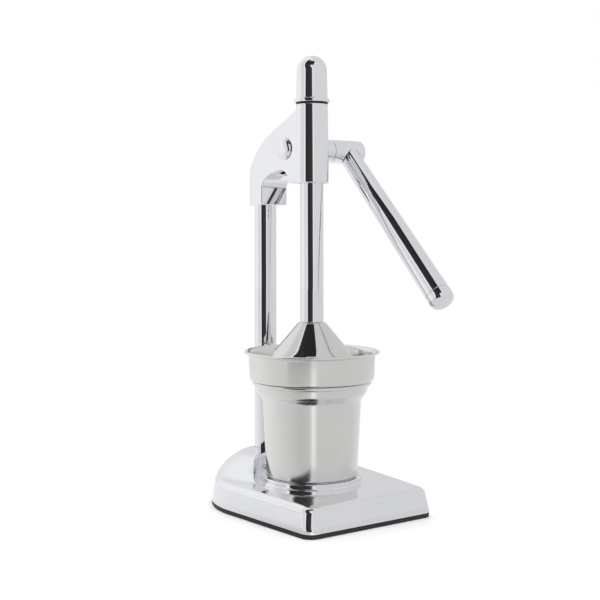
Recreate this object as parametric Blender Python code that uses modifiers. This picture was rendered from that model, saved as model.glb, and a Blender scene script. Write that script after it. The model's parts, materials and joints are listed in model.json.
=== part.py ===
"""A table-top citrus press, worked by a lever through a pinion and a toothed plunger.

The plunger's axis is the Z axis and the table is the plane Z = 0. The base points its straight
front edge to -Y, the column stands behind the plunger on +Y, and the lever is on +X.
Sizes are in metres. The press stands with its plunger down and its cap resting on the head.
"""

import math

import bmesh
import bpy
import numpy as np
from mathutils import Matrix

COLLECTION = "citrus_press_juicer"
CUTTERS = "citrus_press_cutters"

# Fits
GAP = 0.0003                    # between two pieces that rest on each other
FIT = 0.0003                    # between a pin, rod or tube and its bore
CUT = 0.010                     # how far a cutter runs past the face that it opens

# Base: plan, heights and walls
BASE_FRONT = 0.094              # straight front edge, in front of the plunger's axis
BASE_REAR_RADIUS = 0.0814
BASE_REAR_CENTRE = 0.028        # behind the plunger's axis
BASE_FLARE = math.radians(5.0)  # how far each side opens towards the back
BASE_CORNER_RADIUS = 0.011
BASE_DRAFT = 0.16               # inset of the sides for each metre of height
BASE_WALL = 0.003
BASE_TOP_ROUND = 0.006
MAT_THICKNESS = 0.0037
MAT_INSET = 0.0004
FRONT_HEIGHT = 0.0268           # the level around the cup's seat
REAR_HEIGHT = 0.0455            # the level around the column
MOUND_CENTRE = 0.055            # of the round mound under the column, behind the plunger's axis
MOUND_TOP_RADIUS = 0.034
MOUND_FOOT_RADIUS = 0.070
MOUND_MARGIN = 0.0003           # how far the mound's foot runs below the level front
MOUND_STEPS = 8
SEAT_LEVEL = 0.0295             # the level that the cup stands on
SEAT_RING_CLEARANCE = 0.0015    # around the cup's foot
SEAT_RING_WALL = 0.003
SEAT_RING_HEIGHT = 0.0022
RECESS_MARGIN = 0.0075          # from the seat ring out to the recess wall in the mound
PLATE_THICKNESS = 0.002
BASE_BOSS_RADIUS = 0.005
SCREW_RADIUS = 0.0017
SCREW_LENGTH = 0.012
SCREW_HEAD_RADIUS = 0.0035
SCREW_HEAD_HEIGHT = 0.0019
SCREW_INSET = 0.015             # from the base's outline to a screw's axis
REAR_SCREW_TURN = math.radians(32.0)

# Column and tie rod
COLUMN_DISTANCE = 0.0806        # from the plunger's axis back to the column's
COLUMN_RADIUS = 0.011
COLUMN_WALL = 0.0015
COLUMN_EXPOSED = 0.2445         # between the base and the head
COLUMN_SEAT_DEPTH = 0.0092
COLUMN_SOCKET_DEPTH = 0.022
COLUMN_BOSS_WALL = 0.005
COLUMN_BOSS_FLOOR = 0.008
TIE_ROD_RADIUS = 0.004
TIE_ROD_ENGAGEMENT = 0.010
TIE_WASHER_RADIUS = 0.0095
TIE_WASHER_THICKNESS = 0.0015
TIE_NUT_RADIUS = 0.0075
TIE_NUT_HEIGHT = 0.0065
TIE_ROD_TAIL = 0.002

# Plunger, press bell and cap
PLUNGER_RADIUS = 0.011
BELL_RADIUS = 0.042
BELL_HEIGHT = 0.0462
BELL_THICKNESS = 0.0012
BELL_HIP_RADIUS = 0.0355        # where the straight cone starts to turn down
BELL_HIP_DROP = 0.0270          # below the bell's top
BELL_TOP_MARGIN = 0.0019        # bell's top edge outside the plunger
BELL_TOP_CHAMFER = (0.0013, 0.0010)
BELL_CLEARANCE = 0.013          # bell's edge above the strainer's floor when down
BOLT_RADIUS = 0.003
BOLT_LENGTH = 0.022
BOLT_HEAD_RADIUS = 0.0055
BOLT_HEAD_HEIGHT = 0.004
BELL_WASHER_RADIUS = 0.009
BELL_WASHER_THICKNESS = 0.0012
CAP_LIP_RADIUS = 0.0168
CAP_LIP_HEIGHT = 0.0036
CAP_LIP_CHAMFER = 0.0008
CAP_RADIUS = 0.0150
CAP_TOP_RADIUS = 0.0143
CAP_HEIGHT = 0.0447
CAP_BORE_DEPTH = 0.016
CAP_WASHER_THICKNESS = 0.0010
CAP_WASHER_RADIUS = 0.0152

# Pinion and rack
TOOTH_MODULE = 0.002
PINION_TEETH = 15
PINION_WIDTH = 0.011
PRESSURE_ANGLE = math.radians(20.0)
TOOTH_ADDENDUM = 0.0017
TOOTH_DEDENDUM = 0.0025
TOOTH_BACKLASH = 0.00055
RACK_LAND = 0.0005              # left between the tooth tips and the rod's surface
LEVER_TRAVEL = math.radians(200.0)
SHAFT_RADIUS = 0.005
KEY_WIDTH = 0.003
KEY_LENGTH = 0.009
THRUST_WASHER_RADIUS = 0.009
THRUST_WASHER_THICKNESS = 0.0009
BUSH_WALL = 0.0022

# Head casting
HEAD_THICKNESS = 0.0306
HEAD_EDGE_ROUND = 0.0025
PIVOT_ABOVE_SOCKET = 0.053      # pivot above the lower end of the column socket
SLEEVE_ABOVE_SOCKET = 0.0195
SLEEVE_HEIGHT = 0.0752
SLEEVE_WALL = 0.0019
SLEEVE_TAPER = 0.0009
GUIDE_BUSH_WALL = 0.0017
GUIDE_BUSH_LENGTH = 0.012
SOCKET_WALL = 0.0045
BACK_MARGIN = 0.001             # of the side view behind the socket, which the plan then trims
CREST_RISE = 0.0213             # head's crest above the pinion slot, at the sleeve
CREST_BACK_RISE = 0.0148        # above the pivot, where the rounded back starts
CREST_BACK_SHIFT = 0.0267       # in front of the column's axis
WEB_MARGIN = 0.0028             # of the web behind the sleeve's lower end
ARCH_APEX_SHIFT = 0.0078        # behind the pivot
ARCH_REAR_HEIGHT = 0.017        # arch's foot above the socket's lower end
SLOT_MARGIN = 0.0006            # around the pinion in its slot
SLOT_LOADING_SHIFT = 0.0122     # slot's extra length, through which the pinion goes in
SLOT_LOADING_SLOPE = 0.57       # how steeply that length runs down
ARCH_WALL = 0.0030              # of the arch below the pinion
BOSS_RADIUS = 0.0115
BOSS_END = 0.0383
LOCK_SCREW_RADIUS = 0.0025

# Lever
ARM_PLANE = 0.0603
ARM_ANGLE = math.radians(45.2)  # below the horizontal, towards the front
ARM_LENGTH = 0.184
ARM_START = 0.0073
ARM_RADIUS_NEAR = 0.0097
ARM_RADIUS_FAR = 0.0118
ARM_WALL = 0.0015
END_CAP_LENGTH = 0.0120
END_CAP_ROUND = 0.0055
END_CAP_SPIGOT = 0.012
END_CAP_MARGIN = 0.0002         # how far the cap stands outside the tube
HUB_LENGTH = 0.038
HUB_END_ROUND = 0.003
HUB_END_WALL = 0.004
PIVOT_CAP_RADIUS = 0.01075
PIVOT_CAP_HEIGHT = 0.0043
PIVOT_CAP_BORE_SHARE = 0.6      # of the cap's height that the shaft's end fills

# Cup
CUP_RIM_RADIUS = 0.0570
CUP_NECK_RADIUS = 0.0533
CUP_TOP_RADIUS = 0.0470
CUP_BASE_RADIUS = 0.0433
CUP_HEIGHT = 0.0922
CUP_NECK_DROP = 0.008           # rim top down to the neck
CUP_SHOULDER_DROP = 0.020       # rim top down to where the body starts
CUP_BASE_ROUND = 0.004
CUP_ROLL_RADIUS = 0.0011
CUP_ROLL_START = -0.5           # angle at which the rim's curl begins, in radians
SHEET_THICKNESS = 0.0009

# Strainer bowl and reamer
BOWL_RIM_RADIUS = 0.0646
BOWL_TOP_RADIUS = 0.0603
BOWL_FOOT_RADIUS = 0.0593
BOWL_HEIGHT = 0.0278
BOWL_SPIGOT_DEPTH = 0.0055
BOWL_SPIGOT_CLEARANCE = 0.0010
BOWL_THICKNESS = 0.0010
SLOT_COUNT = 24
SLOT_WIDTH = 0.0022
SLOT_END_MARGIN = 0.0030
REAMER_FLANGE_RADIUS = 0.0340
REAMER_BASE_RADIUS = 0.0280
REAMER_HEIGHT = 0.0380
REAMER_RIBS = 10
REAMER_RIB_DEPTH = 0.09
REAMER_WIDTH_POWER = 0.8        # these two make the cone fuller than a half ellipse
REAMER_HEIGHT_POWER = 1.2
REAMER_THICKNESS = 0.0010
RIVET_COUNT = 3
RIVET_RADIUS = 0.0011
RIVET_HEAD_RADIUS = 0.0019
RIVET_HEAD_HEIGHT = 0.0009
RIVET_CROWN_SHARE = 0.6         # flat middle of a rivet's head
RIVET_TURN = math.radians(63.0) # of the first rivet, from +X

# Heights that follow from the sizes above
SHELL_BOTTOM = MAT_THICKNESS + GAP
HEAD_BOTTOM = REAR_HEIGHT + COLUMN_EXPOSED
SOCKET_TOP = HEAD_BOTTOM + COLUMN_SOCKET_DEPTH
SLEEVE_BOTTOM = HEAD_BOTTOM + SLEEVE_ABOVE_SOCKET
SLEEVE_TOP = SLEEVE_BOTTOM + SLEEVE_HEIGHT
PIVOT_Z = HEAD_BOTTOM + PIVOT_ABOVE_SOCKET
CUP_BOTTOM = SEAT_LEVEL + GAP
CUP_TOP = CUP_BOTTOM + CUP_HEIGHT
BOWL_LEDGE = CUP_TOP + GAP
BOWL_FLOOR = BOWL_LEDGE - BOWL_SPIGOT_DEPTH
BELL_BOTTOM = BOWL_FLOOR + BOWL_THICKNESS + BELL_CLEARANCE
BELL_TOP = BELL_BOTTOM + BELL_HEIGHT
CAP_BOTTOM = SLEEVE_TOP + CAP_WASHER_THICKNESS + 2 * GAP

# Radii that follow from the sizes above
BORE_RADIUS = PLUNGER_RADIUS + FIT
GUIDE_SEAT_RADIUS = BORE_RADIUS + GUIDE_BUSH_WALL + GAP
SLEEVE_RADIUS = GUIDE_SEAT_RADIUS + SLEEVE_WALL
SOCKET_RADIUS = COLUMN_RADIUS + FIT + SOCKET_WALL
PINION_RADIUS = TOOTH_MODULE * PINION_TEETH / 2
SLOT_RADIUS = PINION_RADIUS + TOOTH_ADDENDUM + SLOT_MARGIN
RACK_PITCH_Y = PLUNGER_RADIUS - RACK_LAND - TOOTH_ADDENDUM
PIVOT_Y = RACK_PITCH_Y + PINION_RADIUS
HALF_HEAD = HEAD_THICKNESS / 2
SLOT_HALF_WIDTH = PINION_WIDTH / 2 + THRUST_WASHER_THICKNESS + 2 * GAP
BUSH_RADIUS = SHAFT_RADIUS + FIT + BUSH_WALL
SEAT_RING_INNER = CUP_BASE_RADIUS + SEAT_RING_CLEARANCE
RECESS_RADIUS = SEAT_RING_INNER + SEAT_RING_WALL + RECESS_MARGIN
HUB_START = BOSS_END + GAP
HUB_END = HUB_START + HUB_LENGTH

AXIS_ALONG_X = (0.0, math.pi / 2, 0.0)
AXIS_ALONG_Y = (math.pi / 2, 0.0, 0.0)
AXIS_ALONG_ARM = (math.pi / 2 + ARM_ANGLE, 0.0, 0.0)


def clear_scene():
    """Remove every object that the file holds."""
    for item in list(bpy.data.objects):
        bpy.data.objects.remove(item, do_unlink=True)


def make_collection(name):
    """A collection linked to the scene."""
    collection = bpy.data.collections.new(name)
    bpy.context.scene.collection.children.link(collection)
    return collection


def make_material(name, colour, roughness, metallic):
    """A Principled material with one colour, roughness and metallic value."""
    material = bpy.data.materials.new(name)
    material.use_nodes = True
    shader = material.node_tree.nodes["Principled BSDF"]
    shader.inputs["Base Color"].default_value = (*colour, 1.0)
    shader.inputs["Roughness"].default_value = roughness
    shader.inputs["Metallic"].default_value = metallic
    material.diffuse_color = (*colour, 1.0)
    return material


clear_scene()
PARTS = make_collection(COLLECTION)
TOOLS = make_collection(CUTTERS)
CHROME = make_material("chrome_plate", (0.80, 0.80, 0.82), 0.06, 1.0)
BRUSHED_STEEL = make_material("brushed_stainless_steel", (0.62, 0.60, 0.57), 0.28, 1.0)
BRIGHT_STEEL = make_material("bright_steel", (0.56, 0.56, 0.57), 0.35, 1.0)
BRONZE = make_material("sintered_bronze", (0.55, 0.36, 0.18), 0.45, 1.0)
RUBBER = make_material("black_rubber", (0.015, 0.015, 0.016), 0.75, 0.0)
NYLON = make_material("white_nylon", (0.80, 0.79, 0.76), 0.45, 0.0)


def make_axis(name, location):
    """An empty on a joint's axis, which the moving pieces hang from."""
    empty = bpy.data.objects.new(name, None)
    empty.location = location
    empty.empty_display_size = 0.02
    PARTS.objects.link(empty)
    return empty


LEVER_AXIS = make_axis("lever_axis", (0.0, PIVOT_Y, PIVOT_Z))
PLUNGER_AXIS = make_axis("plunger_axis", (0.0, 0.0, 0.0))
CUP_AXIS = make_axis("cup_axis", (0.0, 0.0, 0.0))
STRAINER_AXIS = make_axis("strainer_axis", (0.0, 0.0, 0.0))


def add_piece(name, mesh, material, parent=None, location=(0, 0, 0), rotation=(0, 0, 0)):
    """Link a mesh as a named piece, placed from its parent, and shade it smooth."""
    piece = bpy.data.objects.new(name, mesh)
    piece.parent = parent
    piece.location = location
    piece.rotation_euler = rotation
    mesh.materials.append(material)
    mesh.shade_smooth()
    mesh.set_sharp_from_angle(angle=math.radians(30))
    PARTS.objects.link(piece)
    return piece


def add_cutter(name, mesh, location=(0, 0, 0), rotation=(0, 0, 0)):
    """Link a mesh as a wire-drawn tool for a Boolean modifier."""
    tool = bpy.data.objects.new(name, mesh)
    tool.location = location
    tool.rotation_euler = rotation
    tool.hide_render = True
    tool.display_type = "WIRE"
    TOOLS.objects.link(tool)
    return tool


def combine(piece, tool, operation):
    """Add an exact Boolean modifier."""
    modifier = piece.modifiers.new(f"{operation.lower()}_{tool.name}", "BOOLEAN")
    modifier.operation = operation
    modifier.object = tool
    modifier.solver = "EXACT"


def cut(piece, *tools):
    """Take each tool out of the piece."""
    for tool in tools:
        combine(piece, tool, "DIFFERENCE")


def join(piece, *tools):
    """Add each tool's shape to the piece."""
    for tool in tools:
        combine(piece, tool, "UNION")


def round_edges(piece, width, segments, angle=40.0):
    """Bevel the edges that turn by more than the angle."""
    bevel = piece.modifiers.new("round_edges", "BEVEL")
    bevel.width = width
    bevel.segments = segments
    bevel.limit_method = "ANGLE"
    bevel.angle_limit = math.radians(angle)


def thicken(piece, thickness):
    """Give an open surface its wall, on the inner side."""
    wall = piece.modifiers.new("wall", "SOLIDIFY")
    wall.thickness = thickness
    wall.offset = -1.0
    wall.use_even_offset = True


def cylinder_mesh(name, radius, low, high, sides=40, radius_high=None):
    """A capped cylinder or cone along Z between two heights."""
    mesh = bpy.data.meshes.new(name)
    shape = bmesh.new()
    top = radius if radius_high is None else radius_high
    bmesh.ops.create_cone(
        shape, cap_ends=True, segments=sides, radius1=radius, radius2=top, depth=high - low
    )
    bmesh.ops.translate(shape, verts=shape.verts, vec=(0, 0, (low + high) / 2))
    shape.to_mesh(mesh)
    shape.free()
    return mesh


def box_mesh(name, low, high):
    """A box between two corners."""
    mesh = bpy.data.meshes.new(name)
    shape = bmesh.new()
    bmesh.ops.create_cube(shape, size=1.0)
    size = [b - a for a, b in zip(low, high)]
    middle = [(a + b) / 2 for a, b in zip(low, high)]
    bmesh.ops.scale(shape, verts=shape.verts, vec=size)
    bmesh.ops.translate(shape, verts=shape.verts, vec=middle)
    shape.to_mesh(mesh)
    shape.free()
    return mesh


def loft_mesh(name, levels):
    """A solid through (outline, height) levels, whose outlines have the same number of points."""
    mesh = bpy.data.meshes.new(name)
    shape = bmesh.new()
    loops = [[shape.verts.new((x, y, z)) for x, y in outline] for outline, z in levels]
    shape.faces.new(loops[0])
    shape.faces.new(loops[-1])
    for lower, upper in zip(loops, loops[1:]):
        for i in range(len(lower)):
            j = (i + 1) % len(lower)
            shape.faces.new((lower[i], lower[j], upper[j], upper[i]))
    bmesh.ops.recalc_face_normals(shape, faces=shape.faces)
    shape.to_mesh(mesh)
    shape.free()
    return mesh


def prism_mesh(name, outline, low, high):
    """An outline drawn up between two heights."""
    return loft_mesh(name, [(outline, low), (outline, high)])


def turned_mesh(name, profile, closed):
    """The edges of a (radius, height) profile, for a Screw modifier."""
    mesh = bpy.data.meshes.new(name)
    points = [(radius, 0.0, height) for radius, height in profile]
    edges = [(i, i + 1) for i in range(len(points) - 1)]
    if closed:
        edges.append((len(points) - 1, 0))
    mesh.from_pydata(points, edges, [])
    return mesh


def spin(piece, sides):
    """Turn a profile once about Z."""
    screw = piece.modifiers.new("turn", "SCREW")
    screw.steps = sides
    screw.render_steps = sides
    screw.use_merge_vertices = True
    screw.merge_threshold = 0.00001
    screw.use_smooth_shade = True


def turned_piece(name, profile, material, parent=None, location=(0, 0, 0),
                 rotation=(0, 0, 0), sides=40, closed=False):
    """A turned piece; its profile starts at the top and runs down the outer side."""
    mesh = turned_mesh(name, profile, closed)
    piece = add_piece(name, mesh, material, parent, location, rotation)
    spin(piece, sides)
    return piece


def ring_piece(name, inner, outer, low, high, material, parent=None, location=(0, 0, 0),
               rotation=(0, 0, 0), sides=24):
    """A plain ring, washer or tube."""
    profile = [(inner, high), (outer, high), (outer, low), (inner, low)]
    return turned_piece(name, profile, material, parent, location, rotation, sides, closed=True)


def arc(centre, radius, start, end, steps):
    """Points on an arc, both ends included; angles in radians."""
    angles = np.linspace(start, end, steps + 1)
    return [(centre[0] + radius * math.cos(a), centre[1] + radius * math.sin(a)) for a in angles]


def bezier(start, control_a, control_b, end, steps):
    """Points on a cubic Bezier curve, without its first point."""
    points = []
    for t in np.linspace(0.0, 1.0, steps + 1)[1:]:
        weights = ((1 - t) ** 3, 3 * t * (1 - t) ** 2, 3 * t * t * (1 - t), t ** 3)
        corners = (start, control_a, control_b, end)
        points.append(tuple(sum(w * c[k] for w, c in zip(weights, corners)) for k in range(2)))
    return points


def base_outline(inset, rear_steps=30, corner_steps=5):
    """The base's plan, moved in: straight front, sides that flare, half-round back."""
    rear = BASE_REAR_RADIUS - inset
    corner_y = -BASE_FRONT + inset + BASE_CORNER_RADIUS
    reach = rear - BASE_CORNER_RADIUS + math.sin(BASE_FLARE) * (corner_y - BASE_REAR_CENTRE)
    corner_x = reach / math.cos(BASE_FLARE)
    right = arc((corner_x, corner_y), BASE_CORNER_RADIUS, -math.pi / 2, -BASE_FLARE, corner_steps)
    back = arc((0.0, BASE_REAR_CENTRE), rear, -BASE_FLARE, math.pi + BASE_FLARE, rear_steps)
    left = [(-x, y) for x, y in reversed(right)]
    return right + back + left


def drafted_prism(name, inset, low, high):
    """The base's plan with drafted sides; the inset is measured at the shell's bottom."""
    outlines = [base_outline(inset + BASE_DRAFT * (z - SHELL_BOTTOM)) for z in (low, high)]
    return loft_mesh(name, list(zip(outlines, (low, high))))


def base_top_tool(name, drop):
    """All that lies above the base's top, lowered by drop: a level front and a round mound behind."""
    far = BASE_FRONT + BASE_REAR_RADIUS + CUT
    block = box_mesh(name, (-far, -far, FRONT_HEIGHT - drop), (far, far, REAR_HEIGHT + CUT))
    profile = [(0.0, REAR_HEIGHT - drop)]
    for t in np.linspace(0.0, 1.0, MOUND_STEPS + 1):
        radius = MOUND_TOP_RADIUS + (MOUND_FOOT_RADIUS - MOUND_TOP_RADIUS) * t
        fall = (REAR_HEIGHT - FRONT_HEIGHT + MOUND_MARGIN) * t * t * (3 - 2 * t)
        profile.append((radius, REAR_HEIGHT - drop - fall))
    low = FRONT_HEIGHT - drop - CUT
    profile += [(MOUND_FOOT_RADIUS, low), (0.0, low)]
    mound = add_cutter(f"{name}_mound", turned_mesh(f"{name}_mound", profile, False),
                       (0.0, MOUND_CENTRE, 0.0))
    spin(mound, 64)
    tool = add_cutter(name, block)
    cut(tool, mound)
    return tool


def screw_places():
    """The four screws that hold the base plate, set in from the outline."""
    outline_depth = BASE_FRONT - SCREW_INSET
    rear = BASE_REAR_RADIUS - SCREW_INSET
    front_x = (BASE_REAR_RADIUS - math.sin(BASE_FLARE) * (BASE_FRONT + BASE_REAR_CENTRE)) \
        / math.cos(BASE_FLARE) - SCREW_INSET
    rear_x = rear * math.cos(REAR_SCREW_TURN)
    rear_y = BASE_REAR_CENTRE + rear * math.sin(REAR_SCREW_TURN)
    return [(-front_x, -outline_depth), (front_x, -outline_depth), (-rear_x, rear_y), (rear_x, rear_y)]


def build_base():
    """The chromed shell, its plate, four screws and the rubber mat."""
    plate_low = SHELL_BOTTOM + GAP
    plate_high = plate_low + PLATE_THICKNESS
    boss_low = plate_high + GAP
    boss_floor = REAR_HEIGHT - COLUMN_SEAT_DEPTH - COLUMN_BOSS_FLOOR
    column_place = (0.0, COLUMN_DISTANCE, 0.0)
    top = REAR_HEIGHT + CUT

    shell_mesh = drafted_prism("base_shell", 0.0, SHELL_BOTTOM - CUT, top)
    shell = add_piece("base_shell", shell_mesh, CHROME)
    cut(shell, base_top_tool("base_top_cut", 0.0))
    round_edges(shell, BASE_TOP_ROUND, 3)
    far = BASE_FRONT + BASE_REAR_RADIUS + CUT
    below = box_mesh("base_bottom_cut", (-far, -far, -far), (far, far, SHELL_BOTTOM))
    recess = cylinder_mesh("cup_recess", RECESS_RADIUS, FRONT_HEIGHT, top, 64)
    cut(shell, add_cutter("base_bottom_cut", below), add_cutter("cup_recess", recess))
    seat_top = SEAT_LEVEL + SEAT_RING_HEIGHT
    seat_low = FRONT_HEIGHT - BASE_WALL / 2
    seat_outer = SEAT_RING_INNER + SEAT_RING_WALL
    seat_profile = [(0.0, SEAT_LEVEL), (SEAT_RING_INNER, SEAT_LEVEL), (SEAT_RING_INNER, seat_top),
                    (seat_outer, seat_top), (seat_outer, seat_low), (0.0, seat_low)]
    seat = add_cutter("cup_seat", turned_mesh("cup_seat", seat_profile, False))
    spin(seat, 64)
    join(shell, seat)

    hollow_mesh = drafted_prism("base_hollow", BASE_WALL, SHELL_BOTTOM - CUT, top)
    hollow = add_cutter("base_hollow", hollow_mesh)
    under_recess = cylinder_mesh(
        "under_recess", RECESS_RADIUS + BASE_WALL, FRONT_HEIGHT - BASE_WALL, top + CUT, 48
    )
    boss_radius = COLUMN_RADIUS + FIT + COLUMN_BOSS_WALL
    column_boss = cylinder_mesh("column_boss", boss_radius, boss_floor, top + CUT)
    cut(hollow, base_top_tool("hollow_top_cut", BASE_WALL), add_cutter("under_recess", under_recess),
        add_cutter("column_boss", column_boss, column_place))
    screw_boss = cylinder_mesh("screw_boss", BASE_BOSS_RADIUS, boss_low, top + CUT, 20)
    screw_hole = cylinder_mesh(
        "screw_hole", SCREW_RADIUS + FIT, boss_low - CUT, boss_low + SCREW_LENGTH, 16
    )
    for number, (x, y) in enumerate(screw_places(), 1):
        cut(hollow, add_cutter(f"screw_boss_{number}", screw_boss, (x, y, 0.0)))
    cut(shell, hollow)
    seat_floor = REAR_HEIGHT - COLUMN_SEAT_DEPTH
    column_seat = cylinder_mesh("column_seat", COLUMN_RADIUS + FIT, seat_floor, top)
    rod_hole = cylinder_mesh("rod_hole", TIE_ROD_RADIUS + FIT, boss_floor - CUT, top, 24)
    cut(shell, add_cutter("column_seat", column_seat, column_place),
        add_cutter("rod_hole", rod_hole, column_place))

    plate_inset = BASE_WALL + GAP + BASE_DRAFT * PLATE_THICKNESS
    plate_outline = base_outline(plate_inset)
    plate_mesh = prism_mesh("base_plate", plate_outline, plate_low, plate_high)
    plate = add_piece("base_plate", plate_mesh, BRIGHT_STEEL)
    mat_outline = base_outline(MAT_INSET)
    mat = add_piece("base_mat", prism_mesh("base_mat", mat_outline, 0.0, MAT_THICKNESS), RUBBER)
    head_space = cylinder_mesh("head_space", SCREW_HEAD_RADIUS + 2 * FIT, -CUT, SHELL_BOTTOM, 16)
    head_top = plate_low - GAP
    head_low = head_top - SCREW_HEAD_HEIGHT
    shank_top = boss_low + SCREW_LENGTH - GAP
    profile = [(0.0, shank_top), (SCREW_RADIUS, shank_top), (SCREW_RADIUS, head_top),
               (SCREW_HEAD_RADIUS, head_top), (SCREW_HEAD_RADIUS, head_low), (0.0, head_low)]
    for number, (x, y) in enumerate(screw_places(), 1):
        place = (x, y, 0.0)
        cut(shell, add_cutter(f"screw_hole_{number}", screw_hole, place))
        plate_hole = cylinder_mesh("plate_hole", SCREW_RADIUS + FIT, plate_low - CUT, boss_low, 16)
        cut(plate, add_cutter(f"plate_hole_{number}", plate_hole, place))
        cut(mat, add_cutter(f"head_space_{number}", head_space, place))
        turned_piece(f"base_screw_{number}", profile, BRIGHT_STEEL, location=place, sides=16)


def build_column():
    """The column tube and the rod inside it that draws the head and the base together."""
    place = (0.0, COLUMN_DISTANCE, 0.0)
    low = REAR_HEIGHT - COLUMN_SEAT_DEPTH + GAP
    ring_piece("column_tube", COLUMN_RADIUS - COLUMN_WALL, COLUMN_RADIUS, low, SOCKET_TOP - GAP,
               CHROME, location=place, sides=48)
    boss_floor = REAR_HEIGHT - COLUMN_SEAT_DEPTH - COLUMN_BOSS_FLOOR
    washer_top = boss_floor - GAP
    washer_low = washer_top - TIE_WASHER_THICKNESS
    ring_piece("tie_rod_washer", TIE_ROD_RADIUS + FIT, TIE_WASHER_RADIUS, washer_low, washer_top,
               BRIGHT_STEEL, location=place)
    nut_top = washer_low - GAP
    nut_low = nut_top - TIE_NUT_HEIGHT
    nut = add_piece("tie_rod_nut", cylinder_mesh("tie_rod_nut", TIE_NUT_RADIUS, nut_low, nut_top, 6),
                    BRIGHT_STEEL, location=place)
    bore = cylinder_mesh("nut_bore", TIE_ROD_RADIUS + FIT, nut_low - CUT, nut_top + CUT, 24)
    cut(nut, add_cutter("nut_bore", bore, place))
    rod_top = SOCKET_TOP + TIE_ROD_ENGAGEMENT - GAP
    rod = cylinder_mesh("tie_rod", TIE_ROD_RADIUS, nut_low - TIE_ROD_TAIL, rod_top, 24)
    add_piece("tie_rod", rod, BRIGHT_STEEL, location=place)


def head_outline():
    """The side view of the head as (Y, Z) points: crest, rounded back, socket and arch."""
    socket_front = COLUMN_DISTANCE - SOCKET_RADIUS - GAP
    back = COLUMN_DISTANCE + SOCKET_RADIUS + BACK_MARGIN
    crest_front = (0.0, PIVOT_Z + SLOT_RADIUS + CREST_RISE)
    crest_back = (COLUMN_DISTANCE - CREST_BACK_SHIFT, PIVOT_Z + CREST_BACK_RISE)
    web = SLEEVE_RADIUS + WEB_MARGIN
    apex = (PIVOT_Y + ARCH_APEX_SHIFT, PIVOT_Z - SLOT_RADIUS - ARCH_WALL)
    arch_rear = (socket_front, HEAD_BOTTOM + ARCH_REAR_HEIGHT)
    spring = (web, SLEEVE_BOTTOM + GAP)
    points = [crest_front, (0.0, SLEEVE_BOTTOM + 0.001), spring]
    points += bezier(spring, (web, apex[1] - 0.005), (apex[0] - 0.0076, apex[1]), apex, 6)
    points += bezier(apex, (apex[0] + 0.0134, apex[1]), (socket_front, apex[1] - 0.006), arch_rear, 8)
    points += [(socket_front, HEAD_BOTTOM), (back, HEAD_BOTTOM)]
    points += bezier((back, HEAD_BOTTOM), (back, HEAD_BOTTOM + 0.026),
                     (COLUMN_DISTANCE - 0.0006, PIVOT_Z + 0.001), crest_back, 12)
    return points


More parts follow.
